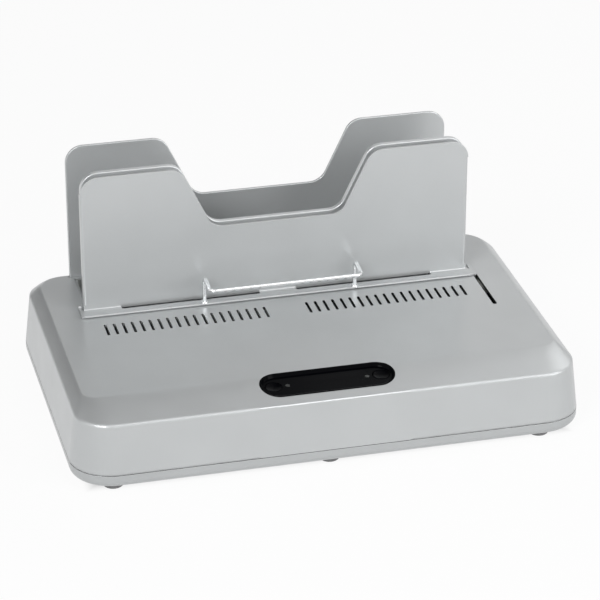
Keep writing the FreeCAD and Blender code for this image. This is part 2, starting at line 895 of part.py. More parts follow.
def bent_wire(corners, bend, radius):
    """Round wire along straight runs, with one bend radius at every corner."""
    edges = []
    start = corners[0]
    for index in range(1, len(corners) - 1):
        corner = corners[index]
        before = (corners[index - 1] - corner).normalize()
        after = (corners[index + 1] - corner).normalize()
        half = before.getAngle(after) / 2
        reach = bend / math.tan(half)
        inward = (before + after).normalize()
        middle = corner + inward * (bend / math.sin(half) - bend)
        edges.append(Part.makeLine(start, corner + before * reach))
        edges.append(Part.Arc(corner + before * reach, middle, corner + after * reach).toShape())
        start = corner + after * reach
    edges.append(Part.makeLine(start, corners[-1]))
    section = Part.Wire([Part.makeCircle(radius, corners[0], corners[1] - corners[0])])
    return Part.Wire(edges).makePipeShell([section], True, True)


def wire_handle():
    """Bent wire pull, a little drooped, with its two welded feet."""
    radius = wire_diameter / 2
    half = wire_span / 2
    foot_y = flange_front + wire_foot_setback
    top = flange_top + wire_height
    front = foot_y - wire_reach
    low = top - wire_droop
    corners = [
        Vector(-half, foot_y, flange_top), Vector(-half, foot_y, top), Vector(-half, front, low),
        Vector(half, front, low), Vector(half, foot_y, top), Vector(half, foot_y, flange_top),
    ]
    welds = []
    for side in (-1, 1):
        foot = Vector(side * half, foot_y, flange_top)
        welds.append(Part.makeCone(weld_radius, radius, weld_height, foot, Vector(0, 0, 1)))
    handle = bent_wire(corners, wire_bend, radius).fuse(welds)
    handle.translate(Vector(works_offset, 0, 0))
    return handle


def slide_block():
    """Plastic runner that grips the tongue and rides on the rod."""
    corners = [
        (slot_x - block_width / 2, block_foot), (slot_x + block_width / 2, block_foot),
        (slot_x + block_width / 2, block_top), (slot_x - block_width / 2, block_top),
    ]
    block = rounded_face(corners, [wall] * 4, facing).extrude(Vector(0, block_length, 0))
    block.translate(Vector(0, block_front, 0))
    bore = rod(rod_radius + running_fit, Vector(slot_x, block_front - cut_overrun, rod_height),
               Vector(slot_x, block_back + cut_overrun, rod_height))
    grip_half = guide_sheet / 2 + press_clearance
    grip = box(slot_x - grip_half, slot_x + grip_half, tongue_front - seat_clearance,
               tongue_rear + seat_clearance, tongue_foot - seat_clearance, block_top + cut_overrun)
    middle = (block_front + block_back) / 2
    plug_bore = rod(friction_plug_radius + press_clearance, Vector(slot_x, middle, rod_height),
                    Vector(slot_x + block_width, middle, rod_height))
    return block.cut([bore, grip, plug_bore])


def friction_plug():
    """Sprung plug in the side of the block that drags on the rod."""
    middle = (block_front + block_back) / 2
    inner = slot_x + rod_radius + running_fit
    plug = rod(friction_plug_radius, Vector(inner, middle, rod_height),
               Vector(slot_x + block_width / 2, middle, rod_height))
    hollow = rod(rod_radius + running_fit, Vector(slot_x, block_front, rod_height),
                 Vector(slot_x, block_back, rod_height))
    return plug.cut(hollow)


def bracket_planes():
    """Front faces of the two upright brackets that hold the rod."""
    return [rod_front + bracket_inset, rod_back - bracket_inset - bracket_sheet]


def rod_brackets():
    """Two folded brackets that stand on the tray and carry the rod."""
    brackets = []
    top = rod_height + bracket_top_margin
    for index, y in enumerate(bracket_planes()):
        direction = (-1, 1)[index]
        corners = [
            (slot_x - bracket_width / 2, base_floor), (slot_x + bracket_width / 2, base_floor),
            (slot_x + bracket_width / 2, top), (slot_x - bracket_width / 2, top),
        ]
        plate = rounded_face(corners, [0, 0, bracket_inset, bracket_inset], facing)
        plate = plate.extrude(Vector(0, bracket_sheet, 0))
        plate.translate(Vector(0, y, 0))
        foot_far = y + direction * bracket_foot_length
        foot_near = y + bracket_sheet if direction < 0 else y
        foot = box(slot_x - bracket_width / 2, slot_x + bracket_width / 2, min(foot_far, foot_near),
                   max(foot_far, foot_near), base_floor, base_floor + bracket_sheet)
        hole = rod(rod_radius + running_fit, Vector(slot_x, y - cut_overrun, rod_height),
                   Vector(slot_x, y + cut_overrun, rod_height))
        brackets.append(plate.fuse(foot).cut(hole).removeSplitter())
    return brackets


def slide_rod():
    """Polished rod that guides the slide block."""
    return rod(rod_radius, Vector(slot_x, rod_front, rod_height), Vector(slot_x, rod_back, rod_height))


def rod_clips():
    """Retaining rings outside the two brackets."""
    clips = []
    first, last = bracket_planes()
    for y in (first - clip_thickness, last + bracket_sheet):
        disc = rod(clip_radius, Vector(slot_x, y, rod_height), Vector(slot_x, y + clip_thickness, rod_height))
        clips.append(disc.cut(rod(rod_radius, Vector(slot_x, y - cut_overrun, rod_height),
                                  Vector(slot_x, y + cut_overrun, rod_height))))
    return clips


def guide_screw_places():
    """X places of the screws that hold the centre and rear guides."""
    return [works_offset + step * guide_screw_spread for step in (-1, 0, 1)]


def centre_guide():
    """Fixed middle guide, between the cooling gap and the binding channel."""
    half = guide_width / 2 - centre_guide_side_step
    plate = guide_sheet_face(half, deck_height + seat_clearance, centre_guide_top)
    plate = plate.extrude(Vector(0, centre_guide_thickness, 0))
    plate.translate(Vector(0, centre_guide_front, 0))
    rims = [edge for edge in plate.Edges
            if edge.BoundBox.YLength < seat_clearance and edge.BoundBox.ZMax > deck_height + wall]
    plate = plate.makeFillet(centre_guide_edge_round, rims)
    foot_half = trough_length / 2 - seat_clearance
    foot = box(works_offset - foot_half, works_offset + foot_half, centre_guide_front,
               centre_guide_back, guide_foot_height, deck_height + wall)
    holes = [rod(screw_radius + running_fit, Vector(x, centre_guide_front + guide_sheet, guide_screw_z),
                 Vector(x, centre_guide_back + cut_overrun, guide_screw_z)) for x in guide_screw_places()]
    return plate.fuse(foot).cut(holes).removeSplitter()


def rear_guide():
    """Fixed rear guide, which stands through its slot in the deck."""
    half = guide_width / 2
    plate = guide_sheet_face(half, guide_foot_height, guide_top)
    plate = plate.extrude(Vector(0, rear_guide_thickness, 0))
    plate.translate(Vector(0, rear_guide_front, 0))
    rims = [edge for edge in plate.Edges
            if edge.BoundBox.YLength < seat_clearance and edge.BoundBox.ZMax > deck_height + wall]
    plate = plate.makeFillet(rear_guide_edge_round, rims)
    holes = [rod(screw_radius + running_fit, Vector(x, rear_guide_front - cut_overrun, guide_screw_z),
                 Vector(x, rear_guide_back + cut_overrun, guide_screw_z)) for x in guide_screw_places()]
    relief_half = inlet_width / 2 + inlet_flange + inlet_well_margin
    relief = box(inlet_x - relief_half, inlet_x + relief_half, rear_guide_front - cut_overrun,
                 rear_guide_back + cut_overrun, 0, inlet_z + inlet_height / 2 + inlet_well_margin)
    return plate.cut(holes + [relief])


def guide_spacers():
    """Threaded standoffs between the trough and the rear guide."""
    spacers = []
    for x in guide_screw_places():
        body = rod(guide_spacer_radius, Vector(x, trough_back, guide_screw_z),
                   Vector(x, rear_guide_front, guide_screw_z))
        bore = rod(screw_radius + running_fit, Vector(x, trough_back - cut_overrun, guide_screw_z),
                   Vector(x, rear_guide_front + cut_overrun, guide_screw_z))
        spacers.append(body.cut(bore))
    return spacers


def pan_screw(head_seat, tip, radius=screw_radius, head_radius=screw_head_radius):
    """Pan head screw whose head sits on one point and whose shank ends at another."""
    along = (tip - head_seat).normalize()
    shank = rod(radius, head_seat, tip)
    head = Part.makeCylinder(head_radius, screw_head_height, head_seat - along * screw_head_height, along)
    far = head_seat - along * screw_head_height
    rims = [edge for edge in head.Edges if edge.CenterOfMass.distanceToPoint(far) < screw_head_height / 2]
    head = head.makeFillet(screw_head_height / 3, rims)
    return head.fuse(shank)


def guide_screws():
    """Screws of both fixed guides."""
    screws = []
    for x in guide_screw_places():
        rear_seat = Vector(x, rear_guide_back, guide_screw_z)
        rear_tip = Vector(x, trough_back - trough_wall, guide_screw_z)
        screws.append(pan_screw(rear_seat, rear_tip, screw_radius, guide_screw_head))
        front_seat = Vector(x, trough_front + trough_wall, guide_screw_z)
        front_tip = Vector(x, centre_guide_front + guide_sheet, guide_screw_z)
        screws.append(pan_screw(front_seat, front_tip, screw_radius, guide_screw_head))
    return screws


def heating_trough():
    """Open sheet box below the binding channel that carries the heater."""
    half = trough_length / 2
    corners = [
        (works_offset - half, trough_front), (works_offset + half, trough_front),
        (works_offset + half, trough_back), (works_offset - half, trough_back),
    ]
    outer = rounded_face(corners, [trough_corner] * 4, flat).extrude(Vector(0, 0, trough_top - trough_floor))
    outer.translate(Vector(0, 0, trough_floor))
    inner_corners = [
        (works_offset - half + trough_wall, trough_front + trough_wall),
        (works_offset + half - trough_wall, trough_front + trough_wall),
        (works_offset + half - trough_wall, trough_back - trough_wall),
        (works_offset - half + trough_wall, trough_back - trough_wall),
    ]
    inner_round = trough_corner - trough_wall
    inner = rounded_face(inner_corners, [inner_round] * 4, flat).extrude(Vector(0, 0, deck_height))
    inner.translate(Vector(0, 0, trough_floor + trough_wall))
    cutters = [inner]
    low = trough_floor - cut_overrun
    high = trough_floor + trough_wall + seat_clearance
    cutters.append(slot_along_y(works_offset, lever_slot_front, lever_slot_back, lever_slot_width, low, high))
    hole = thermostat_radius + thermostat_hole_gap
    middle = (trough_front + trough_back) / 2
    cutters.append(upright(hole, works_offset + thermostat_x, middle, low, high))
    for x, y in post_places():
        cutters.append(upright(screw_radius + seat_clearance, x, y, low, high))
    for x, y in standoff_places():
        cutters.append(upright(standoff_bore + seat_clearance, x, y, low, high))
    for x in guide_screw_places():
        cutters.append(rod(screw_radius + running_fit, Vector(x, trough_front - cut_overrun, guide_screw_z),
                           Vector(x, trough_back + cut_overrun, guide_screw_z)))
    return outer.cut(cutters)


def standoff_places():
    """Centres of the insulating standoffs under the heater plate."""
    near = trough_front + trough_wall + heater_plate_side_gap + standoff_edge_gap
    far = trough_back - trough_wall - heater_plate_side_gap - standoff_edge_gap
    columns = (-standoff_outer_x, -standoff_inner_x, standoff_inner_x, standoff_outer_x)
    return [(works_offset + x, y) for x in columns for y in (near, far)]


def heater_plate():
    """Flat aluminium plate that the spine of the cover stands on."""
    half = trough_length / 2 - trough_wall - heater_plate_end_gap
    front = trough_front + trough_wall + heater_plate_side_gap
    back = trough_back - trough_wall - heater_plate_side_gap
    plate = box(works_offset - half, works_offset + half, front, back, plate_foot, heater_plate_top)
    rims = [edge for edge in plate.Edges if edge.BoundBox.ZMin > plate_foot + heater_plate_round]
    plate = plate.makeFillet(heater_plate_round, rims)
    slot = slot_along_y(works_offset, lever_slot_front, lever_slot_back, lever_slot_width,
                        plate_foot - cut_overrun, heater_plate_top + cut_overrun)
    pilots = [upright(standoff_bore, x, y, plate_foot - cut_overrun, heater_plate_top - heater_plate_round)
              for x, y in standoff_places()]
    return plate.cut([slot] + pilots)


def element_box(side, margin, z0, z1):
    """Flat block under one half of the heater plate."""
    inner = element_inner_end - margin
    outer = element_outer_end + margin
    x0 = works_offset + min(side * inner, side * outer)
    x1 = works_offset + max(side * inner, side * outer)
    front = trough_front + trough_wall + heater_plate_side_gap + element_margin - margin
    back = trough_back - trough_wall - heater_plate_side_gap - element_margin + margin
    return box(x0, x1, front, back, z0, z1)


def heating_elements():
    """Two flat strip elements pressed against the plate."""
    return [element_box(side, 0, element_foot, plate_foot) for side in (-1, 1)]


def element_clamps():
    """Plates that press the elements against the heater plate."""
    return [element_box(side, clamp_margin, clamp_foot, element_foot) for side in (-1, 1)]


def insulator_standoffs():
    """Ceramic pillars between the trough floor and the heater plate."""
    pillars = []
    for x, y in standoff_places():
        pillar = upright(standoff_radius, x, y, trough_floor + trough_wall, plate_foot)
        pillars.append(pillar.cut(upright(standoff_bore + running_fit, x, y, 0, plate_foot + cut_overrun)))
    return pillars


def heater_screws():
    """Screws from under the trough, through the pillars, into the plate."""
    screws = []
    tip = heater_plate_top - heater_plate_round - seat_clearance
    for x, y in standoff_places():
        shank = standoff_bore - running_fit
        screws.append(pan_screw(Vector(x, y, trough_floor), Vector(x, y, tip), shank, standoff_radius))
    return screws


def trough_screws():
    """Screws that hold the trough on its posts."""
    screws = []
    seat = trough_floor + trough_wall
    for x, y in post_places():
        shank = screw_radius - running_fit
        tip = Vector(x, y, seat - small_screw_length)
        screws.append(pan_screw(Vector(x, y, seat), tip, shank, screw_head_radius))
    return screws


def heat_shield():
    """Folded steel sheet between the heater and the tray."""
    half = trough_length / 2 - shield_margin
    front = trough_front + shield_margin
    back = trough_back - shield_margin
    sheet = box(works_offset - half, works_offset + half, front, back, shield_height,
                shield_height + shield_thickness)
    lips = []
    for y in (front, back - shield_thickness):
        lips.append(box(works_offset - half, works_offset + half, y, y + shield_thickness,
                        shield_height - shield_lip, shield_height + shield_thickness))
    holes = [upright(post_radius + running_fit, x, y, 0, trough_floor) for x, y in post_places()]
    window_half = ear_offset() + sensor_ear_sheet + sensor_window_gap
    window_back = sensor_pivot_y + sensor_ear_radius + sensor_window_gap
    window = box(works_offset - window_half, works_offset + window_half, front - cut_overrun, window_back,
                 0, trough_floor)
    return sheet.fuse(lips).cut(holes + [window]).removeSplitter()


def thermostat():
    """Bimetal disc thermostat held against the left clamp."""
    x = works_offset + thermostat_x
    y = (trough_front + trough_back) / 2
    cap = upright(thermostat_radius, x, y, clamp_foot - thermostat_height / 2, clamp_foot)
    body = upright(thermostat_radius - wall / 2, x, y, clamp_foot - thermostat_height, clamp_foot)
    pins = []
    for side in (-1, 1):
        pin_x = x + side * thermostat_pin_spread
        foot = clamp_foot - thermostat_height - thermostat_pin_length
        pins.append(upright(thermostat_pin_radius, pin_x, y, foot, clamp_foot - thermostat_height / 2))
    return cap.fuse([body] + pins)


def thermal_fuse():
    """Axial fuse that lies against the right clamp."""
    x = works_offset + fuse_x
    y = (trough_front + trough_back) / 2
    z = clamp_foot - fuse_radius
    half = fuse_length / 2
    body = rod(fuse_radius, Vector(x - half, y, z), Vector(x + half, y, z))
    reach = half + fuse_lead_length
    lead = rod(fuse_lead_radius, Vector(x - reach, y, z), Vector(x + reach, y, z))
    return body.fuse(lead)


def sensor_lever():
    """Bell crank whose nose stands in the binding channel."""
    hub = Vector(-lever_width / 2, sensor_pivot_y, sensor_pivot_z)
    across = Vector(lever_width, 0, 0)
    half_width = lever_width / 2

    def arm(y, z, radius, root):
        tip = Vector(-half_width, y, z)
        along = (tip - hub).normalize()
        side = along.cross(Vector(1, 0, 0))
        points = [hub + side * root, tip + side * radius, tip - side * radius, hub - side * root]
        blade = Part.Face(Part.makePolygon(points + [points[0]])).extrude(across)
        return blade.fuse(rod(radius, tip, tip + across))

    nose = arm(lever_nose_y, lever_nose_z, lever_nose_radius, lever_hub_radius * lever_nose_root_share)
    tail = arm(lever_tail_y, lever_tail_z, lever_tail_radius, lever_hub_radius * lever_tail_root_share)
    body = rod(lever_hub_radius, hub, hub + across).fuse([nose, tail])
    bore = rod(sensor_pin_radius + running_fit, hub - across, hub + across * 2)
    lever = body.cut(bore).removeSplitter()
    lever.translate(Vector(works_offset, 0, 0))
    return lever


def ear_offset():
    """Inner face of each ear of the sensor bracket, from its middle."""
    coil_room = spring_turns * spring_pitch + 2 * spring_wire_radius
    return lever_width / 2 + sensor_ear_gap + coil_room


def sensor_bracket():
    """Bracket under the trough with two ears for the pin and a shelf for the switch."""
    inner = ear_offset()
    outer = inner + sensor_ear_sheet
    back = sensor_pivot_y + sensor_ear_radius
    shelf_top = sensor_shelf_height + sensor_ear_sheet
    shelf_back = sensor_ear_front + switch_width + sensor_ear_sheet
    corners = [
        (sensor_ear_front, sensor_shelf_height), (shelf_back, sensor_shelf_height),
        (back, sensor_pivot_z - sensor_ear_radius), (back, trough_floor), (sensor_ear_front, trough_floor),
    ]
    radii = [sensor_ear_sheet, sensor_ear_sheet, sensor_ear_radius, 0, 0]
    flange_foot_z = trough_floor - sensor_ear_sheet
    pieces = []
    for side in (-1, 1):
        ear = rounded_face(corners, radii, sideways).extrude(Vector(sensor_ear_sheet, 0, 0))
        ear.translate(Vector(works_offset + (inner if side > 0 else -outer), 0, 0))
        far = side * (outer + sensor_flange_length)
        near = side * inner
        flange = box(works_offset + min(near, far), works_offset + max(near, far),
                     sensor_pivot_y - sensor_ear_radius, back, flange_foot_z, trough_floor)
        pieces += [ear, flange]
    shelf = box(works_offset - outer, works_offset + outer, sensor_ear_front + sensor_ear_sheet,
                shelf_back - sensor_ear_sheet, sensor_shelf_height, shelf_top)
    bracket = pieces[0].fuse(pieces[1:] + [shelf])
    reach = outer + cut_overrun
    bore = rod(sensor_pin_radius + running_fit, Vector(works_offset - reach, sensor_pivot_y, sensor_pivot_z),
               Vector(works_offset + reach, sensor_pivot_y, sensor_pivot_z))
    return bracket.cut(bore).removeSplitter()


def sensor_switch():
    """Small detector switch on the bracket's shelf, in front of the lever's tail."""
    half = switch_length / 2
    swing = math.radians(lever_travel_angle)
    tail = sensor_pivot_z - lever_tail_z
    tail_front = sensor_pivot_y - tail * math.sin(swing) - lever_tail_radius
    face = tail_front - switch_gap - switch_plunger_rise
    foot = sensor_shelf_height + sensor_ear_sheet
    case = box(works_offset - half, works_offset + half, face - switch_width, face, foot, foot + switch_height)
    rims = [edge for edge in case.Edges if edge.BoundBox.ZLength > seat_clearance]
    plunger_z = sensor_pivot_z - tail * math.cos(swing)
    plunger = rod(switch_plunger_radius, Vector(works_offset, face - switch_plunger_rise, plunger_z),
                  Vector(works_offset, face + switch_plunger_rise, plunger_z))
    return case.makeFillet(switch_plunger_radius, rims).fuse(plunger)


def sensor_pin():
    """Steel pin that the sensor lever turns on."""
    reach = ear_offset() + sensor_ear_sheet + sensor_pin_overhang
    return rod(sensor_pin_radius, Vector(works_offset - reach, sensor_pivot_y, sensor_pivot_z),
               Vector(works_offset + reach, sensor_pivot_y, sensor_pivot_z))


def sensor_spring():
    """Light torsion spring beside the lever's hub."""
    rise = spring_pitch * spring_turns
    helix = Part.makeHelix(spring_pitch, rise, spring_radius)
    slope = Vector(0, 2 * math.pi * spring_radius, spring_pitch).normalize() * spring_leg
    start = Vector(spring_radius, 0, 0)
    end = Vector(spring_radius, 0, rise)
    path = Part.Wire([Part.makeLine(start - slope, start)] + helix.Edges + [Part.makeLine(end, end + slope)])
    section = Part.Wire([Part.makeCircle(spring_wire_radius, start - slope, slope)])
    coil = path.makePipeShell([section], True, True)
    coil.rotate(Vector(0, 0, 0), Vector(0, 1, 0), 90)
    near = works_offset + lever_width / 2 + sensor_ear_gap / 2 + spring_wire_radius
    coil.translate(Vector(near, sensor_pivot_y, sensor_pivot_z))
    return coil


def on_strip(shape):
    """Move a piece from the control strip's own frame into place."""
    shape.Placement = strip_frame.multiply(shape.Placement)
    return shape


def control_window():
    """Dark glossy oval window with holes for the buttons and lights."""
    length = strip_length - 2 * lip_clearance
    width = strip_width - 2 * lip_clearance
    lens = stadium(length, width, lens_thickness - running_fit)
    lens.translate(Vector(0, 0, -lens_thickness + running_fit))
    cutters = []
    for side in (-1, 1):
        button_x = side * button_spacing / 2
        lamp_x = side * lamp_spacing / 2
        cutters.append(upright(button_radius + button_gap, button_x, 0, -lens_thickness - cut_overrun, cut_overrun))
        cutters.append(upright(lamp_radius + running_fit, lamp_x, 0, -lens_thickness - cut_overrun, cut_overrun))
    return on_strip(lens.cut(cutters))


def push_button(side):
    """Round key cap with a dished top, a retaining flange and a stem."""
    flange_top_w = -lens_thickness - seat_clearance
    flange_foot_w = flange_top_w - button_flange_height
    stem_foot = flange_foot_w - button_stem_length
    rim = button_radius - button_edge
    flange_radius = button_radius + button_flange_width
    dish_middle = Vector(rim / 2, 0, -button_dish * 3 / 4)
    edges = [
        Part.Arc(Vector(0, 0, -button_dish), dish_middle, Vector(rim, 0, 0)).toShape(),
        Part.makeLine(Vector(rim, 0, 0), Vector(button_radius, 0, -button_edge)),
        Part.makeLine(Vector(button_radius, 0, -button_edge), Vector(button_radius, 0, flange_top_w)),
        Part.makeLine(Vector(button_radius, 0, flange_top_w), Vector(flange_radius, 0, flange_top_w)),
        Part.makeLine(Vector(flange_radius, 0, flange_top_w), Vector(flange_radius, 0, flange_foot_w)),
        Part.makeLine(Vector(flange_radius, 0, flange_foot_w), Vector(button_stem_radius, 0, flange_foot_w)),
        Part.makeLine(Vector(button_stem_radius, 0, flange_foot_w), Vector(button_stem_radius, 0, stem_foot)),
        Part.makeLine(Vector(button_stem_radius, 0, stem_foot), Vector(0, 0, stem_foot)),
        Part.makeLine(Vector(0, 0, stem_foot), Vector(0, 0, -button_dish)),
    ]
    profile = Part.Face(Part.Wire(edges))
    cap = profile.revolve(Vector(0, 0, 0), Vector(0, 0, 1), 360)
    cap.translate(Vector(side * button_spacing / 2, 0, 0))
    return on_strip(cap)


def indicator_lights():
    """Clear light pipes that end in the window."""
    pipes = []
    for side in (-1, 1):
        x = side * lamp_spacing / 2
        pipe = upright(lamp_radius, x, 0, lamp_proud - lamp_pipe_length, lamp_proud)
        rim = [edge for edge in pipe.Edges if edge.BoundBox.ZMin > lamp_proud - seat_clearance / 2]
        pipes.append(on_strip(pipe.makeFillet(lamp_proud * 2, rim)))
    return pipes


def control_board():
    """Circuit board under the control window."""
    top = board_top()
    corners = [
        (-board_length / 2, -board_width / 2), (board_length / 2, -board_width / 2),
        (board_length / 2, board_width / 2), (-board_length / 2, board_width / 2),
    ]
    board = rounded_face(corners, [wall] * 4, flat).extrude(Vector(0, 0, board_thickness))
    board.translate(Vector(0, 0, top - board_thickness))
    holes = [upright(screw_radius + seat_clearance, side * board_boss_x, 0, top - cut_overrun, top + cut_overrun)
             for side in (-1, 1)]
    return on_strip(board.cut(holes))


def key_switches():
    """Tactile switches under the two buttons."""
    top = board_top()
    half = key_switch_size / 2
    switches = []
    for side in (-1, 1):
        x = side * button_spacing / 2
        case = box(x - half, x + half, -half, half, top, top + key_switch_height * key_case_share)
        plunger = upright(button_stem_radius, x, 0, top, top + key_switch_height)
        switches.append(on_strip(case.fuse(plunger)))
    return switches


def indicator_leds():
    """Surface mounted lamps under the light pipes."""
    top = board_top()
    half = led_size / 2
    lamps = []
    for side in (-1, 1):
        x = side * lamp_spacing / 2
        lamps.append(on_strip(box(x - half, x + half, -half, half, top, top + led_height)))
    return lamps


def on_power_board(x, y):
    """Place on the power board, from its front left corner."""
    return power_board_x + x, power_board_y + y


def power_board():
    """Main circuit board on its posts."""
    x0, y0 = on_power_board(0, 0)
    x1, y1 = on_power_board(power_board_length, power_board_width)
    top = power_board_height + board_thickness
    corners = [(x0, y0), (x1, y0), (x1, y1), (x0, y1)]
    board = rounded_face(corners, [wall] * 4, flat).extrude(Vector(0, 0, board_thickness))
    board.translate(Vector(0, 0, power_board_height))
    holes = [upright(screw_radius, x, y, power_board_height - cut_overrun, top + cut_overrun)
             for x, y in power_board_posts()]
    return board.cut(holes)


def transformer():
    """Small mains transformer with its core and winding."""
    x, y = on_power_board(transformer_inset_x, transformer_inset_y)
    foot = power_board_height + board_thickness
    core_y = y + (transformer_width - transformer_core_width) / 2
    core = box(x, x + transformer_length, core_y, core_y + transformer_core_width, foot, foot + transformer_height)
    margin = transformer_coil_margin
    corners = [
        (x + margin, y), (x + transformer_length - margin, y),
        (x + transformer_length - margin, y + transformer_width), (x + margin, y + transformer_width),
    ]
    coil = rounded_face(corners, [margin] * 4, flat)
    coil = coil.extrude(Vector(0, 0, transformer_height - 2 * margin))
    coil.translate(Vector(0, 0, foot + margin))
    return core.fuse(coil)


def relay():
    """Relay that switches the heating elements."""
    x, y = on_power_board(relay_x, relay_y)
    foot = power_board_height + board_thickness
    case = box(x, x + relay_length, y, y + relay_width, foot, foot + relay_height)
    upper = [edge for edge in case.Edges if edge.BoundBox.ZMin > foot + wall or edge.BoundBox.ZLength > wall]
    return case.makeFillet(lip_thickness, upper)


def filter_capacitors():
    """Two upright capacitors."""
    foot = power_board_height + board_thickness
    cans = []
    for index in range(2):
        x, y = on_power_board(capacitor_x + index * capacitor_pitch, capacitor_y)
        can = upright(capacitor_radius, x, y, foot, foot + capacitor_height)
        rim = [edge for edge in can.Edges if edge.BoundBox.ZMin > foot + wall]
        cans.append(can.makeFillet(capacitor_round, rim))
    return cans


def terminal_block():
    """Screw terminals for the mains and heater leads."""
    x, y = on_power_board(terminal_x, terminal_y - terminal_width / 2)
    foot = power_board_height + board_thickness
    block = box(x, x + terminal_length, y, y + terminal_width, foot, foot + terminal_height)
    pitch = terminal_length / terminal_count
    wells = []
    for index in range(terminal_count):
        centre = x + pitch * (index + 0.5)
        wells.append(upright(terminal_bore, centre, y + terminal_width / 2, foot + terminal_height / 2,
                             foot + terminal_height + cut_overrun))
    return block.cut(wells)


def buzzer():
    """Round sounder that signals the end of the cycle."""
    x, y = on_power_board(buzzer_x, buzzer_y)
    foot = power_board_height + board_thickness
    body = upright(buzzer_radius, x, y, foot, foot + buzzer_height)
    port = upright(buzzer_hole, x, y, foot + buzzer_height / 2, foot + buzzer_height + cut_overrun)
    return body.cut(port)


def board_screws():
    """Screws of the power board and the control board."""
    screws = []
    seat = power_board_height + board_thickness
    for x, y in power_board_posts():
        tip = Vector(x, y, power_board_height)
        screws.append(pan_screw(Vector(x, y, seat), tip, screw_radius - running_fit, screw_head_radius))
    under = board_top() - board_thickness
    for side in (-1, 1):
        x = side * board_boss_x
        screw = pan_screw(Vector(x, 0, under), Vector(x, 0, under + board_thickness))
        screws.append(on_strip(screw))
    return screws


def power_inlet():
    """Two pin mains inlet, snapped into the well of the rear wall."""
    half = inlet_width / 2
    rise = inlet_height / 2
    front = inlet_well_floor - inlet_depth
    face = inlet_well_floor + inlet_flange_thickness
    socket_floor = face - inlet_socket_depth

    def outline(grow, y, depth):
        w = half + grow
        h = rise + grow
        corners = [(inlet_x - w, inlet_z - h), (inlet_x + w, inlet_z - h),
                   (inlet_x + w, inlet_z + h), (inlet_x - w, inlet_z + h)]
        block = rounded_face(corners, [inlet_corner] * 4, facing).extrude(Vector(0, depth, 0))
        block.translate(Vector(0, y, 0))
        return block

    def bar(radius, x, y0, y1):
        return rod(radius, Vector(x, y0, inlet_z), Vector(x, y1, inlet_z))

    shell = outline(0, front, face - front).fuse(outline(inlet_flange, inlet_well_floor, inlet_flange_thickness))
    sockets = [box(inlet_x - inlet_socket_spread, inlet_x + inlet_socket_spread, socket_floor,
                   face + cut_overrun, inlet_z - inlet_socket_waist, inlet_z + inlet_socket_waist)]
    pins = []
    for side in (-1, 1):
        sockets.append(bar(inlet_socket_radius, inlet_x + side * inlet_socket_spread, socket_floor,
                           face + cut_overrun))
        pin_x = inlet_x + side * inlet_pin_spread
        pins.append(bar(inlet_pin_radius, pin_x, socket_floor - inlet_flange, socket_floor + inlet_pin_length))
        pins.append(box(pin_x - inlet_tag_thickness / 2, pin_x + inlet_tag_thickness / 2,
                        front - inlet_tag_length, front + inlet_flange,
                        inlet_z - inlet_pin_radius * 2, inlet_z + inlet_pin_radius * 2))
    return shell.cut(sockets).fuse(pins)


def inner_leads():
    """Insulated leads from the terminals to the mains inlet and to the thermostat."""
    x, y = on_power_board(terminal_x, terminal_y + terminal_width / 2)
    pitch = terminal_length / terminal_count
    low = power_board_height + board_thickness + terminal_height / 2
    leads = []
    for index, side in enumerate((-1, 1)):
        start_x = x + pitch * (index + 0.5)
        tag_x = inlet_x + side * inlet_pin_spread
        tag_y = inlet_well_floor - inlet_depth - inlet_tag_length
        points = [Vector(start_x, y, low), Vector(start_x, trough_front - lead_rise_front, low),
                  Vector(tag_x, trough_front - lead_rise_back, inlet_z), Vector(tag_x, tag_y, inlet_z)]
        leads.append(bent_wire(points, lead_bend, lead_radius))
    middle = (trough_front + trough_back) / 2
    lead_end = clamp_foot - thermostat_height - thermostat_pin_length / 2
    for index, side in enumerate((-1, 1)):
        start_x = x + pitch * (index + 3.5)
        turn_y = trough_front - lead_turn_back - index * lead_turn_step
        pin_x = works_offset + thermostat_x + side * thermostat_pin_spread
        pin_y = middle - thermostat_pin_radius
        points = [Vector(start_x, y, low), Vector(start_x, turn_y, low),
                  Vector(pin_x, turn_y + lead_run, low),
                  Vector(pin_x, trough_front - lead_rise_back, lead_end), Vector(pin_x, pin_y, lead_end)]
        leads.append(bent_wire(points, lead_bend, lead_radius))
    return leads


def housing_screws():
    """Long screws up through the tray into the top shell."""
    screws = []
    for x, y in boss_places():
        head = Vector(x, y, housing_screw_seat)
        tip = Vector(x, y, boss_foot + housing_screw_length - seat_clearance)
        screws.append(pan_screw(head, tip, screw_radius - running_fit, screw_head_radius))
    return screws


def write_nodes(nodes):
    """Write each named node as one STEP file of separate solids."""
    os.makedirs("parts", exist_ok=True)
    for name, shape in nodes.items():
        pieces = shape if isinstance(shape, list) else [shape]
        solids = [solid for piece in pieces for solid in piece.Solids]
        for solid in solids:
            if not solid.isValid():
                print("not valid:", name)
        whole = solids[0] if len(solids) == 1 else Part.makeCompound(solids)
        whole.exportStep(os.path.join("parts", name + ".step"))
        print(name, len(solids), round(whole.Volume / 1000, 2))


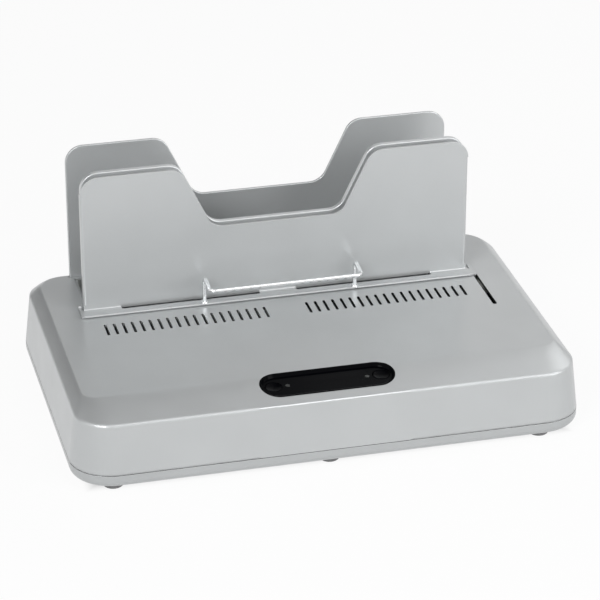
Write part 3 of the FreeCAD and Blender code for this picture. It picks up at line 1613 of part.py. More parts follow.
nodes = {
    "upper_housing": upper_housing(),
    "bottom_cover": bottom_cover(),
    "rubber_feet": rubber_feet(),
    "front_guide": front_guide(),
    "wire_handle": wire_handle(),
    "slide_block": slide_block(),
    "friction_plug": friction_plug(),
    "slide_rod": slide_rod(),
    "rod_brackets": rod_brackets(),
    "rod_clips": rod_clips(),
    "centre_guide": centre_guide(),
    "rear_guide": rear_guide(),
    "guide_spacers": guide_spacers(),
    "guide_screws": guide_screws(),
    "heating_trough": heating_trough(),
    "heater_plate": heater_plate(),
    "heating_elements": heating_elements(),
    "element_clamps": element_clamps(),
    "insulator_standoffs": insulator_standoffs(),
    "heater_screws": heater_screws(),
    "trough_screws": trough_screws(),
    "heat_shield": heat_shield(),
    "thermostat": thermostat(),
    "thermal_fuse": thermal_fuse(),
    "sensor_lever": sensor_lever(),
    "sensor_bracket": sensor_bracket(),
    "sensor_pin": sensor_pin(),
    "sensor_spring": sensor_spring(),
    "sensor_switch": sensor_switch(),
    "control_window": control_window(),
    "left_button": push_button(-1),
    "right_button": push_button(1),
    "indicator_lights": indicator_lights(),
    "control_board": control_board(),
    "key_switches": key_switches(),
    "indicator_leds": indicator_leds(),
    "power_board": power_board(),
    "transformer": transformer(),
    "relay": relay(),
    "filter_capacitors": filter_capacitors(),
    "terminal_block": terminal_block(),
    "buzzer": buzzer(),
    "board_screws": board_screws(),
    "power_inlet": power_inlet(),
    "inner_leads": inner_leads(),
    "housing_screws": housing_screws(),
}

write_nodes(nodes)
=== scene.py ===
import json
import logging
import math
from collections.abc import Callable, Iterable
from dataclasses import dataclass, field
from enum import Enum

import bmesh
import bpy
from mathutils import Matrix, Vector


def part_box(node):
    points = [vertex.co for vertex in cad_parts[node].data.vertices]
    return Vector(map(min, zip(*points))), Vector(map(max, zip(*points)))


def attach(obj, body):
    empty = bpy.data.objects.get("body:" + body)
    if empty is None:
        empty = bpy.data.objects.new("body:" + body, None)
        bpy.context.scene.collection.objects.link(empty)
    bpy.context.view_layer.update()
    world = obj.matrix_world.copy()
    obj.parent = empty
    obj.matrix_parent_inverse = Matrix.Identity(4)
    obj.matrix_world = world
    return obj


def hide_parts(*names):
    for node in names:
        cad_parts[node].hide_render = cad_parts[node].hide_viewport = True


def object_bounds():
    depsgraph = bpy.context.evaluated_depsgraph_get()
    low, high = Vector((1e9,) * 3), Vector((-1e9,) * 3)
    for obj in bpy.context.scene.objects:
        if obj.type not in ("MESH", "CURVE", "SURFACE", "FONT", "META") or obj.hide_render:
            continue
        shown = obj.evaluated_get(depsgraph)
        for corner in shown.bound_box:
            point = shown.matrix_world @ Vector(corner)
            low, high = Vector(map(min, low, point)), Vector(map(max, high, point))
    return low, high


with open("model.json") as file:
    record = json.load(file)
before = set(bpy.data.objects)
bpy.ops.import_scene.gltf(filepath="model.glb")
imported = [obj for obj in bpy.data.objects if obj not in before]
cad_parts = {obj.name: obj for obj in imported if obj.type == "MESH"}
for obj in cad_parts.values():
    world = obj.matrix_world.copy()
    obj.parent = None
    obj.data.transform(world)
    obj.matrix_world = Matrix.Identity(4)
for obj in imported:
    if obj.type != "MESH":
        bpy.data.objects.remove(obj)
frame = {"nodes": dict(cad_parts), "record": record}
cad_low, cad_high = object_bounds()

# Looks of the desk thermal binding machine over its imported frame.
#
# Everything is in metres in the frame of the model: X runs to the right, Y to the
# back and Z up, and the floor is at Z nought. Lengths that are named here in
# millimetres are turned into metres by MM.

log = logging.getLogger("binding_machine")

MM = 0.001
Range = tuple[float, float]
Triple = tuple[float, float, float]
Colour = Triple
Socket = bpy.types.NodeSocket
Piece = bpy.types.Object
Ring = list[bmesh.types.BMVert]

WHOLE: Range = (0.0, 1.0)  # all values that a texture can give
CLOUD: Range = (0.3, 0.7)  # where most values of a cloudy noise lie
SHARP_ANGLE = math.radians(35)  # faces that meet at more than this keep a sharp edge
BAND_WIDTH = math.pi / 10.0  # width of a band of the wave texture at a scale of one
EDGE_SAMPLES = 8  # rays that look for the edges which are softened
ALONG = Vector((1, 0, 0))  # the long way of the machine


class Slot(Enum):
    """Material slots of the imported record."""

    SILVER_HOUSING = "silver_housing"
    SILVER_TRAY = "silver_tray"
    SILVER_GUIDE = "silver_guide"
    SILVER_DIVIDER = "silver_divider"
    BRIGHT_WIRE = "bright_wire"
    BLACK_RUBBER = "black_rubber"
    BLACK_GLOSS = "black_gloss"
    CLEAR_LENS = "clear_lens"
    WHITE_PLASTIC = "white_plastic"
    DARK_PLASTIC = "dark_plastic"
    GROUND_STEEL = "ground_steel"
    ZINC_STEEL = "zinc_steel"
    BRASS_PARTS = "brass_parts"
    BARE_ALUMINIUM = "bare_aluminium"
    CERAMIC = "ceramic"
    GREEN_BOARD = "green_board"
    IRON_CORE = "iron_core"
    CAN_SLEEVE = "can_sleeve"
    LEAD_SLEEVE = "lead_sleeve"
    GREEN_TERMINAL = "green_terminal"


class Grain(Enum):
    """Way that a texture runs, as its stretch along X, Y and Z."""

    ALONG_X = (0.02, 1.0, 1.0)
    ALONG_Y = (1.0, 0.02, 1.0)
    ALONG_Z = (1.0, 1.0, 0.02)
    MIRRORED = (-1.0, 1.0, 1.0)
    NONE = (1.0, 1.0, 1.0)


class Nodes:
    """Node tree, with short calls for the nodes that the finishes and the studio share."""

    def __init__(self, tree: bpy.types.NodeTree) -> None:
        """Take over a tree."""
        self.tree = tree

    def new(self, kind: str, **settings: str) -> bpy.types.Node:
        """Add a node.

        Args:
            kind: Type of the node without the prefix that all of them have.
            settings: Properties of the node and their values.

        Returns:
            The new node.
        """
        node = self.tree.nodes.new("ShaderNode" + kind)
        for name, value in settings.items():
            setattr(node, name, value)
        return node

    def feed(self, target: Socket, value: Socket | float | Colour | Vector) -> None:
        """Link a socket to another, or set it to an even value.

        Args:
            target: Socket that is fed.
            value: Socket that it is linked to, or an even number, colour or vector.
        """
        if isinstance(value, Socket):
            self.tree.links.new(value, target)
        else:
            target.default_value = (*value, 1.0) if isinstance(value, tuple) else value

    def place(self, grain: Grain = Grain.NONE) -> Socket:
        """Give the place on the piece in metres.

        Args:
            grain: Way that the texture that reads it runs.

        Returns:
            The vector socket to feed a texture with.
        """
        where = self.new("TexCoord").outputs["Object"]
        if grain is Grain.NONE:
            return where
        mapping = self.new("Mapping")
        self.feed(mapping.inputs["Scale"], Vector(grain.value))
        self.feed(mapping.inputs["Vector"], where)
        return mapping.outputs["Vector"]

    def parts(self, vector: Socket) -> bpy.types.bpy_prop_collection:
        """Give the sockets of a vector's X, Y and Z.

        Args:
            vector: Vector socket that is split.

        Returns:
            The sockets by the names X, Y and Z.
        """
        split = self.new("SeparateXYZ")
        self.feed(split.inputs[0], vector)
        return split.outputs

    def noise(self, size: float, detail: float = 2.0, grain: Grain = Grain.NONE) -> Socket:
        """Cloudy noise.

        Args:
            size: Width of its clouds in metres.
            detail: Octaves of finer noise.
            grain: Way that the clouds are drawn out.

        Returns:
            A socket between nought and one.
        """
        node = self.new("TexNoise")
        self.feed(node.inputs["Scale"], 1.0 / size)
        self.feed(node.inputs["Detail"], detail)
        self.feed(node.inputs["Vector"], self.place(grain))
        return node.outputs["Fac"]

    def cells(self, size: float, output: str = "Distance", **settings: str) -> Socket:
        """Cells of even size.

        Args:
            size: Width of a cell in metres.
            output: Distance or Color.
            settings: The node's feature, or its way of measuring the distance.

        Returns:
            The chosen output socket.
        """
        node = self.new("TexVoronoi", **settings)
        self.feed(node.inputs["Scale"], 1.0 / size)
        self.feed(node.inputs["Vector"], self.place())
        return node.outputs[output]

    def bands(self, size: float, axis: str, grain: Grain = Grain.NONE) -> Socket:
        """Even bands across one axis.

        Args:
            size: Width of a band in metres.
            axis: X, Y, Z or DIAGONAL.
            grain: Way that the bands are turned.

        Returns:
            A socket between nought and one.
        """
        node = self.new("TexWave", wave_type="BANDS", bands_direction=axis, wave_profile="SIN")
        self.feed(node.inputs["Scale"], BAND_WIDTH / size)
        self.feed(node.inputs["Vector"], self.place(grain))
        return node.outputs["Fac"]

    def spread(self, source: Socket, start: float, end: float, low: float = 0.0, high: float = 1.0,
               ease: str = "LINEAR") -> Socket:
        """Map a value from one range to another and clamp it.

        Args:
            source: Socket that is read.
            start: Value that gives low.
            end: Value that gives high.
            low: Result at the start.
            high: Result at the end.
            ease: LINEAR or SMOOTHSTEP.

        Returns:
            The mapped socket.
        """
        node = self.new("MapRange", interpolation_type=ease)
        names = ("Value", "From Min", "From Max", "To Min", "To Max")
        for name, value in zip(names, (source, start, end, low, high)):
            self.feed(node.inputs[name], value)
        return node.outputs["Result"]

    def sway(self, source: Socket, middle: float, reach: float, band: Range = CLOUD) -> Socket:
        """Let a value sway evenly about a middle.

        Args:
            source: Socket that is read.
            middle: Middle of the result.
            reach: Most that the result lies above or below it.
            band: Values of the source that give the two ends.

        Returns:
            The mapped socket.
        """
        return self.spread(source, *band, middle - reach, middle + reach)

    def sums(self, kind: str, first: Socket, second: Socket | float = 0.0) -> Socket:
        """Join two values by one sum.

        Args:
            kind: ADD, SUBTRACT, MULTIPLY or MAXIMUM, or ABSOLUTE, which reads only the first.
            first: First socket.
            second: Second socket or number.

        Returns:
            The result's socket.
        """
        node = self.new("Math", operation=kind)
        self.feed(node.inputs[0], first)
        self.feed(node.inputs[1], second)
        return node.outputs[0]

    def tint(self, share: Socket, first: Colour | Socket, second: Colour | Socket) -> Socket:
        """Blend two colours.

        Args:
            share: Share of the second colour.
            first: Colour or colour socket at nought.
            second: Colour or colour socket at one.

        Returns:
            The blended colour socket.
        """
        node = self.new("Mix", data_type="RGBA")
        self.feed(node.inputs["Factor"], share)
        self.feed(node.inputs[6], first)
        self.feed(node.inputs[7], second)
        return node.outputs[2]

    def relief(self, height: Socket, depth: float, base: Socket | None = None) -> Socket:
        """Turn a height into a normal.

        Args:
            height: Height between nought and one.
            depth: Height of one in metres.
            base: Normal that the relief lies on.

        Returns:
            The normal socket.
        """
        node = self.new("Bump")
        self.feed(node.inputs["Strength"], 1.0)
        self.feed(node.inputs["Distance"], depth)
        self.feed(node.inputs["Height"], height)
        if base is not None:
            self.feed(node.inputs["Normal"], base)
        return node.outputs["Normal"]

    def soft_edges(self, radius: float | Socket) -> Socket:
        """Round the sharp edges of a piece.

        Args:
            radius: Radius of the rounding in metres.

        Returns:
            The rounded normal.
        """
        node = self.new("Bevel")
        node.samples = EDGE_SAMPLES
        self.feed(node.inputs["Radius"], radius)
        return node.outputs["Normal"]

    def facing(self, direction: Socket) -> Socket:
        """Measure how far a direction points along the true normal of a face.

        Args:
            direction: Vector socket.

        Returns:
            The length of the direction along the normal.
        """
        dot = self.new("VectorMath", operation="DOT_PRODUCT")
        self.feed(dot.inputs[0], direction)
        self.feed(dot.inputs[1], self.new("NewGeometry").outputs["Normal"])
        return dot.outputs["Value"]

    def seen(self) -> Socket:
        """Mask where the camera, a mirror or glass looks.

        Returns:
            A socket of one there, and of nought for soft light.
        """
        path = self.new("LightPath").outputs
        mirrored = self.sums("MAXIMUM", path["Is Camera Ray"], path["Is Glossy Ray"])
        return self.sums("MAXIMUM", mirrored, path["Is Transmission Ray"])


class MaterialNodes(Nodes):
    """Tree of a new material, empty but for its output."""

    def __init__(self, name: str) -> None:
        """Start the material.

        Args:
            name: Name of the material.
        """
        self.material = bpy.data.materials.new(name)
        self.material.use_nodes = True
        super().__init__(self.material.node_tree)
        self.tree.nodes.clear()
        self.output = self.new("OutputMaterial").inputs["Surface"]


class Shader(MaterialNodes):
    """Tree of a finish: one surface shader and what drives it."""

    def __init__(self, name: str) -> None:
        """Start the material with its surface shader.

        Args:
            name: Name of the material.
        """
        super().__init__(name)
        self.surface = self.new("BsdfPrincipled")
        self.feed(self.output, self.surface.outputs[0])

    def drive(self, name: str, value: Socket | float | Colour) -> None:
        """Link a socket of the surface shader, or set it to an even value."""
        self.feed(self.surface.inputs[name], value)


@dataclass(frozen=True)
class Finish:
    """What every finish has: its slot, colour, gloss and metal share, and how far they vary."""

    slot: Slot
    colour: Colour
    roughness: float
    metallic: float = 0.0
    tones: Range = (0.9, 1.1)
    glosses: Range = WHOLE

    def shade(self, share: float) -> Colour:
        """Give the colour made lighter or darker by a share."""
        return tuple(min(1.0, part * share) for part in self.colour)

    def toned(self, shader: Shader, share: Socket) -> Socket:
        """Blend the darkest and the lightest tone of the finish.

        Args:
            shader: Tree that it adds to.
            share: Share of the lightest tone.

        Returns:
            The colour socket.
        """
        darkest, lightest = self.tones
        return shader.tint(share, self.shade(darkest), self.shade(lightest))

    def glossed(self, shader: Shader, source: Socket, band: Range = CLOUD) -> None:
        """Vary the roughness by the shares of it in glosses.

        Args:
            shader: Tree that it adds to.
            source: Texture that is followed.
            band: Values of the texture that give the two ends.
        """
        low, high = (self.roughness * share for share in self.glosses)
        shader.drive("Roughness", shader.spread(source, *band, low, high))

    def detail(self, shader: Shader) -> None:
        """Add what sets the finish apart; each kind of finish has its own."""
        raise NotImplementedError

    def material(self) -> bpy.types.Material:
        """Make the material of the finish.

        Returns:
            The new material.
        """
        shader = Shader(self.slot.value)
        shader.drive("Base Color", self.colour)
        shader.drive("Roughness", self.roughness)
        shader.drive("Metallic", self.metallic)
        self.detail(shader)
        return shader.material


@dataclass(frozen=True)
class SatinPaint(Finish):
    """Silver metallic paint: fine flakes, a light orange peel, and lighter edges, partly thinner
    paint and partly a painted highlight.
    """

    tones: Range = (0.86, 1.14)
    flake: float = 0.35 * MM
    flake_contrast: float = 0.05
    drift: float = 45 * MM
    drift_contrast: float = 0.06
    peel: float = 1.6 * MM
    peel_height: float = 0.012 * MM
    smear: float = 18 * MM
    smear_contrast: float = 0.025
    edge: float = 0.35 * MM
    # Lift of the edge colour: partly worn thin paint, partly a painted highlight.
    edge_wear_and_highlight: float = 1.16
    edge_band: Range = (0.995, 0.80)
    rub_and_highlight: float = 9 * MM
    rub_band: Range = (0.35, 0.65)
    rub_shares: Range = (0.35, 0.9)

    def detail(self, shader: Shader) -> None:
        """Add flakes, drift in tone, orange peel, and edges lightened partly by wear and partly as
        a painted highlight.

        Args:
            shader: Tree that it adds to.
        """
        flakes = shader.sway(shader.cells(self.flake, "Color"), 0.5, self.flake_contrast, WHOLE)
        drift = shader.sway(shader.noise(self.drift), 0.0, self.drift_contrast)
        paint = self.toned(shader, shader.sums("ADD", flakes, drift))
        rounded = self.rounded(shader)
        # Painted highlight and wear: rubbed patches along the edges are lightened.
        edges = shader.spread(shader.facing(rounded), *self.edge_band)
        rubbed = shader.spread(shader.noise(self.rub_and_highlight, 4.0), *self.rub_band, *self.rub_shares)
        rub_and_highlight = shader.sums("MULTIPLY", edges, rubbed)
        worn = shader.tint(rub_and_highlight, paint, self.shade(self.edge_wear_and_highlight))
        shader.drive("Base Color", self.covered(shader, worn))
        smears = shader.noise(self.smear, 4.0)
        shader.drive("Roughness", shader.sway(smears, self.roughness, self.smear_contrast))
        shader.drive("Normal", shader.relief(shader.noise(self.peel), self.peel_height, rounded))

    def rounded(self, shader: Shader) -> Socket:
        """Give the normal with softened edges."""
        return shader.soft_edges(self.edge)

    def covered(self, shader: Shader, paint: Socket) -> Socket:
        """Give the colour of the whole piece; plain paint covers all of it."""
        return paint


@dataclass(frozen=True)
class PaintedShell(SatinPaint):
    """Silver paint on the outside of a moulded shell, and bare dark plastic inside, made near
    black as painted shade.

    The crown's creases at the sides, front and back are softened widely, and the openings in
    the deck narrowly. The roll is the soft fold between the deck and the front slope: it
    starts and ends at the outer two of its places along Y, and is full between the inner two.
    """

    # Bare plastic inside, made near black as painted shade in the shell's slots and vents.
    bare: Colour = (0.020, 0.020, 0.022)
    bare_grain: float = 0.6 * MM
    overspray: float = 0.09
    middle: Vector = Vector((0, 0, 30)) * MM
    inner_depth: float = 0.5 * MM
    inner_back: float = 106 * MM
    inner_fade: float = 1 * MM
    crease_side: float = 178 * MM
    crease_side_fade: float = 3 * MM
    crease_front: float = -86 * MM
    crease_back: float = 112 * MM
    crease_fade: float = 2 * MM
    crease_radius: float = 3.2 * MM
    roll: tuple[float, float, float, float] = (-110 * MM, -99 * MM, -85 * MM, -78 * MM)
    roll_radius: float = 11 * MM
    strip_side: float = 56 * MM

    def rounded(self, shader: Shader) -> Socket:
        """Soften the crown's creases and its roll to the front widely, and the rest narrowly.

        Args:
            shader: Tree that it adds to.

        Returns:
            The rounded normal.
        """
        across = shader.sums("ABSOLUTE", shader.parts(shader.place())["X"])
        along = shader.parts(shader.place())["Y"]
        side = shader.spread(across, self.crease_side, self.crease_side + self.crease_side_fade)
        back = shader.spread(along, self.crease_back, self.crease_back + self.crease_fade)
        front = shader.spread(along, self.crease_front, self.crease_front - self.crease_fade)
        clear = shader.spread(across, self.strip_side, self.strip_side + self.crease_fade)
        creases = shader.sums("MAXIMUM", shader.sums("MAXIMUM", side, back),
                              shader.sums("MULTIPLY", front, clear))
        narrow = shader.spread(creases, *WHOLE, self.edge, self.crease_radius)
        wide = self.rolled(shader, across, along)
        return shader.soft_edges(shader.sums("MAXIMUM", narrow, wide))

    def rolled(self, shader: Shader, across: Socket, along: Socket) -> Socket:
        """Give the radius of the roll, which fades out beside the strip and near the sides.

        Args:
            shader: Tree that it adds to.
            across: Distance from the middle along X.
            along: Place along Y.

        Returns:
            The radius in metres.
        """
        low, start, end, high = self.roll
        reach = shader.sums("MULTIPLY", shader.spread(along, low, start),
                            shader.spread(along, end, high, 1.0, 0.0))
        beside = shader.spread(across, self.strip_side, self.strip_side + self.roll_radius,
                               0.0, self.roll_radius)
        inward = shader.spread(across, self.crease_side - 3 * self.roll_radius,
                               self.crease_side - self.roll_radius, 1.0, 0.0)
        return shader.sums("MULTIPLY", shader.sums("MULTIPLY", reach, beside), inward)

    def covered(self, shader: Shader, paint: Socket) -> Socket:
        """Leave the faces that look towards the shell's middle bare and near black as painted
        shade, with a speckled overspray.

        Args:
            shader: Tree that it adds to.
            paint: Colour of the outside.

        Returns:
            The colour of the whole shell.
        """
        away = shader.new("VectorMath", operation="SUBTRACT")
        shader.feed(away.inputs[0], shader.place())
        shader.feed(away.inputs[1], self.middle)
        # Painted shade: the inward faces get the near-black bare plastic with paint speckles.
        inner = shader.spread(shader.facing(away.outputs[0]), 0.0, -self.inner_depth)
        ahead = shader.spread(shader.parts(shader.place())["Y"], self.inner_back,
                              self.inner_back - self.inner_fade)
        grain = shader.noise(self.bare_grain, 3.0)
        bare_and_painted_shade = shader.tint(grain, self.bare, self.shade(self.overspray))
        return shader.tint(shader.sums("MULTIPLY", inner, ahead), paint, bare_and_painted_shade)


@dataclass(frozen=True)
class LinedMetal(Finish):
    """Bare metal with fine lines from drawing, grinding, rolling or turning."""

    tones: Range = (0.88, 1.10)
    glosses: Range = (0.85, 1.2)
    grain: Grain = Grain.NONE
    line: float = 0.25 * MM
    line_height: float = 0.004 * MM
    line_contrast: float = 0.15
    blotch: float = 6 * MM
    blotch_contrast: float = 0.06
    edge: float = 0.15 * MM

    def detail(self, shader: Shader) -> None:
        """Add lines, blotches in tone and a spread of gloss.

        Args:
            shader: Tree that it adds to.
        """
        lines = shader.noise(self.line, 4.0, self.grain)
        blotches = shader.noise(self.blotch, 3.0)
        tone = shader.sums("ADD", shader.sway(lines, 0.5, self.line_contrast),
                           shader.sway(blotches, 0.0, self.blotch_contrast))
        shader.drive("Base Color", self.toned(shader, tone))
        self.glossed(shader, blotches)
        rounded = shader.soft_edges(self.edge)
        shader.drive("Normal", shader.relief(lines, self.line_height, rounded))


@dataclass(frozen=True)
class ZincPlate(LinedMetal):
    """Bright zinc plating on steel, with a faint spangle and a blue and yellow bloom."""

    tones: Range = (0.86, 1.12)
    line_contrast: float = 0.1
    spangle: float = 3.5 * MM
    spangle_contrast: float = 0.1
    bloom: Colour = (0.60, 0.60, 0.50)
    bloom_size: float = 14 * MM
    bloom_band: Range = (0.45, 0.75)
    bloom_share: float = 0.55
    edge: float = 0.2 * MM

    def detail(self, shader: Shader) -> None:
        """Add spangle, bloom and fine rolling lines.

        Args:
            shader: Tree that it adds to.
        """
        lines = shader.noise(self.line, 3.0, self.grain)
        spangle = shader.cells(self.spangle, "Color")
        tone = shader.sums("ADD", shader.sway(lines, 0.5, self.line_contrast),
                           shader.sway(spangle, 0.0, self.spangle_contrast, WHOLE))
        cloud = shader.noise(self.bloom_size, 3.0)
        bloomed = shader.spread(cloud, *self.bloom_band, 0.0, self.bloom_share)
        shader.drive("Base Color", shader.tint(bloomed, self.toned(shader, tone), self.bloom))
        self.glossed(shader, spangle, WHOLE)
        rounded = shader.soft_edges(self.edge)
        shader.drive("Normal", shader.relief(lines, self.line_height, rounded))


@dataclass(frozen=True)
class MouldedPlastic(Finish):
    """Moulded plastic with an even spark texture and a little dust in scattered clouds."""

    glosses: Range = (0.92, 1.08)
    grain_size: float = 0.3 * MM
    grain_height: float = 0.012 * MM
    drift: float = 12 * MM
    dust: Colour = (0.5, 0.5, 0.48)
    dust_size: float = 3 * MM
    dust_band: Range = (0.45, 0.8)
    dust_share: float = 0.06
    edge: float = 0.2 * MM

    def detail(self, shader: Shader) -> None:
        """Add the spark texture, drift in tone and dust.

        Args:
            shader: Tree that it adds to.
        """
        drift = shader.noise(self.drift, 3.0)
        cloud = shader.noise(self.dust_size, 5.0)
        settled = shader.spread(cloud, *self.dust_band, 0.0, self.dust_share)
        shader.drive("Base Color", shader.tint(settled, self.toned(shader, drift), self.dust))
        self.glossed(shader, drift)
        sparks = shader.noise(self.grain_size, 3.0)
        rounded = shader.soft_edges(self.edge)
        shader.drive("Normal", shader.relief(sparks, self.grain_height, rounded))


@dataclass(frozen=True)
class Rubber(MouldedPlastic):
    """Soft dark grey rubber, dusty and scuffed where it meets the desk."""

    glosses: Range = (0.9, 1.0)
    worn_below: float = 1.2 * MM
    worn_share: float = 0.35
    fleck: float = 0.9 * MM
    fleck_band: Range = (0.5, 0.8)

    def detail(self, shader: Shader) -> None:
        """Add grain, mould flecks and a scuffed sole.

        Args:
            shader: Tree that it adds to.
        """
        grain = shader.noise(self.grain_size, 4.0)
        height = shader.parts(shader.place())["Z"]
        sole = shader.spread(height, self.worn_below, 0.0, 0.0, self.worn_share)
        flecks = shader.spread(shader.noise(self.fleck, 5.0), *self.fleck_band)
        worn = shader.sums("MULTIPLY", sole, flecks)
        shader.drive("Base Color", shader.tint(worn, self.colour, self.dust))
        self.glossed(shader, grain)
        shader.drive("Normal", shader.relief(grain, self.grain_height))


@dataclass(frozen=True)
class SmokedGloss(Finish):
    """Polished dark window plastic, with faint wipe marks and hairline scratches."""

    tones: Range = (1.0, 6.0)
    glosses: Range = (1.0, 2.2)
    refraction: float = 1.16
    wipe: float = 7 * MM
    wipe_band: Range = (0.35, 0.75)
    speck: float = 1.1 * MM
    speck_band: Range = (0.07, 0.03)
    speck_area: float = 6 * MM
    speck_area_band: Range = (0.60, 0.66)
    speck_share: float = 0.30
    scratch: float = 0.3 * MM
    scratch_depth: float = 0.0012 * MM
    edge: float = 0.25 * MM

    def detail(self, shader: Shader) -> None:
        """Add wipe marks to the gloss, fine scratches and specks of dust.

        Args:
            shader: Tree that it adds to.
        """
        shader.drive("IOR", self.refraction)
        specks = shader.spread(shader.cells(self.speck), *self.speck_band)
        rare = shader.spread(shader.noise(self.speck_area), *self.speck_area_band,
                             0.0, self.speck_share)
        shader.drive("Base Color", self.toned(shader, shader.sums("MULTIPLY", specks, rare)))
        self.glossed(shader, shader.noise(self.wipe, 4.0, Grain.ALONG_X), self.wipe_band)
        scratches = shader.noise(self.scratch, 3.0, Grain.ALONG_X)
        rounded = shader.soft_edges(self.edge)
        shader.drive("Normal", shader.relief(scratches, self.scratch_depth, rounded))


@dataclass(frozen=True)
class ClearLens(Finish):
    """Clear moulded light pipe with tiny bubbles and a diffusing end."""

    tones: Range = (1.0, 1.25)
    glosses: Range = (1.0, 2.0)
    clearness: float = 0.55
    refraction: float = 1.49
    bubble: float = 0.7 * MM
    bubble_band: Range = (0.2, 0.05)
    frost: float = 0.25 * MM
    frost_height: float = 0.008 * MM

    def detail(self, shader: Shader) -> None:
        """Add transmission, bubbles and a fine diffusing texture.

        Args:
            shader: Tree that it adds to.
        """
        shader.drive("Transmission Weight", self.clearness)
        shader.drive("IOR", self.refraction)
        bubbles = shader.spread(shader.cells(self.bubble), *self.bubble_band)
        shader.drive("Base Color", self.toned(shader, bubbles))
        self.glossed(shader, shader.noise(2 * self.frost))
        shader.drive("Normal", shader.relief(shader.noise(self.frost), self.frost_height))


@dataclass(frozen=True)
class Ceramic(Finish):
    """Unglazed white ceramic with a sandy grain and a few iron specks."""

    tones: Range = (0.92, 1.05)
    drift: float = 4 * MM
    speck: Colour = (0.38, 0.30, 0.22)
    speck_size: float = 1.3 * MM
    speck_band: Range = (0.12, 0.06)
    speck_share: float = 0.6
    sand: float = 0.2 * MM
    sand_height: float = 0.02 * MM
    edge: float = 0.15 * MM

    def detail(self, shader: Shader) -> None:
        """Add specks, a warm drift and a sandy grain.

        Args:
            shader: Tree that it adds to.
        """
        cells = shader.cells(self.speck_size)
        specks = shader.spread(cells, *self.speck_band, 0.0, self.speck_share)
        drift = self.toned(shader, shader.noise(self.drift, 3.0))
        shader.drive("Base Color", shader.tint(specks, drift, self.speck))
        sand = shader.noise(self.sand, 4.0)
        rounded = shader.soft_edges(self.edge)
        shader.drive("Normal", shader.relief(sand, self.sand_height, rounded))


@dataclass(frozen=True)
class CircuitBoard(Finish):
    """Solder mask over copper tracks, with tinned pads and a glass weave that shows through."""

    tones: Range = (1.0, 1.4)
    weave: float = 0.4 * MM
    weave_share: float = 0.25
    pitch: float = 5.1 * MM
    track: Colour = (0.09, 0.34, 0.14)
    track_band: Range = (0.10, 0.13)
    pad: Colour = (0.62, 0.61, 0.55)
    pad_band: Range = (0.15, 0.12)
    pad_metal: float = 0.9
    copper_height: float = 0.035 * MM

    def detail(self, shader: Shader) -> None:
        """Add tracks, pads and weave.

        Args:
            shader: Tree that it adds to.
        """
        borders = shader.cells(self.pitch, feature="DISTANCE_TO_EDGE")
        tracks = shader.spread(borders, *self.track_band, 1.0, 0.0)
        pads = shader.spread(shader.cells(self.pitch, distance="CHEBYCHEV"), *self.pad_band)
        warp, weft = shader.bands(self.weave, "X"), shader.bands(self.weave, "Y")
        weave = shader.sums("MULTIPLY", warp, weft)
        mask = self.toned(shader, shader.spread(weave, *WHOLE, 0.0, self.weave_share))
        copper = shader.tint(tracks, mask, self.track)
        shader.drive("Base Color", shader.tint(pads, copper, self.pad))
        shader.drive("Metallic", shader.spread(pads, *WHOLE, 0.0, self.pad_metal))
        height = shader.sums("MAXIMUM", tracks, pads)
        shader.drive("Normal", shader.relief(height, self.copper_height))


@dataclass(frozen=True)
class Laminations(Finish):
    """Varnished stack of iron sheets, with rust freckles along their edges."""

    tones: Range = (0.7, 1.25)
    glosses: Range = (2 / 3, 4 / 3)
    sheet: float = 0.5 * MM
    sheet_relief: float = 0.05 * MM
    varnish: float = 5 * MM
    rust: Colour = (0.16, 0.07, 0.035)
    rust_size: float = 1.2 * MM
    rust_band: Range = (0.56, 0.72)
    rust_share: float = 0.8

    def detail(self, shader: Shader) -> None:
        """Add the sheets' edges, runs of varnish and freckles.

        Args:
            shader: Tree that it adds to.
        """
        sheets = shader.bands(self.sheet, "Y")
        cloud = shader.noise(self.rust_size, 5.0)
        freckles = shader.spread(cloud, *self.rust_band, 0.0, self.rust_share)
        shader.drive("Base Color", shader.tint(freckles, self.toned(shader, sheets), self.rust))
        self.glossed(shader, shader.noise(self.varnish, 3.0))
        shader.drive("Normal", shader.relief(sheets, self.sheet_relief))


@dataclass(frozen=True)
class ShrinkSleeve(Finish):
    """Glossy shrink sleeve with a pale stripe down one side and a bare metal top."""

    top: float = 0.0
    lid: Colour = (0.72, 0.73, 0.74)
    lid_fade: float = 0.1 * MM
    stripe: Colour = (0.42, 0.45, 0.55)
    stripe_pitch: float = 6 * MM
    stripe_band: Range = (0.90, 0.94)
    wrinkle: float = 1.5 * MM
    wrinkle_height: float = 0.05 * MM

    def detail(self, shader: Shader) -> None:
        """Add the stripe, the metal top and drawn wrinkles.

        Args:
            shader: Tree that it adds to.
        """
        height = shader.parts(shader.place())["Z"]
        lid = shader.spread(height, self.top - self.lid_fade, self.top)
        wrinkles = shader.noise(self.wrinkle, 3.0, Grain.ALONG_Z)
        stripe = shader.spread(shader.bands(self.stripe_pitch, "X"), *self.stripe_band)
        sleeve = shader.tint(stripe, self.toned(shader, wrinkles), self.stripe)
        shader.drive("Base Color", shader.tint(lid, sleeve, self.lid))
        shader.drive("Metallic", lid)
        shader.drive("Normal", shader.relief(wrinkles, self.wrinkle_height))


@dataclass(frozen=True)
class WovenSleeve(Finish):
    """Braided glass sleeve over the inner leads."""

    tones: Range = (0.72, 1.08)
    strand: float = 0.35 * MM
    strand_height: float = 0.06 * MM
    soil: float = 0.6
    soil_size: float = 5 * MM
    soil_band: Range = (0.4, 0.8)
    soil_share: float = 0.3

    def detail(self, shader: Shader) -> None:
        """Add the crossing strands and a little soil.

        Args:
            shader: Tree that it adds to.
        """
        one = shader.bands(self.strand, "DIAGONAL")
        other = shader.bands(self.strand, "DIAGONAL", Grain.MIRRORED)
        braid = shader.sums("MAXIMUM", one, other)
        cloud = shader.noise(self.soil_size, 3.0)
        soiled = shader.spread(cloud, *self.soil_band, 0.0, self.soil_share)
        colour = shader.tint(soiled, self.toned(shader, braid), self.shade(self.soil))
        shader.drive("Base Color", colour)
        shader.drive("Normal", shader.relief(braid, self.strand_height))


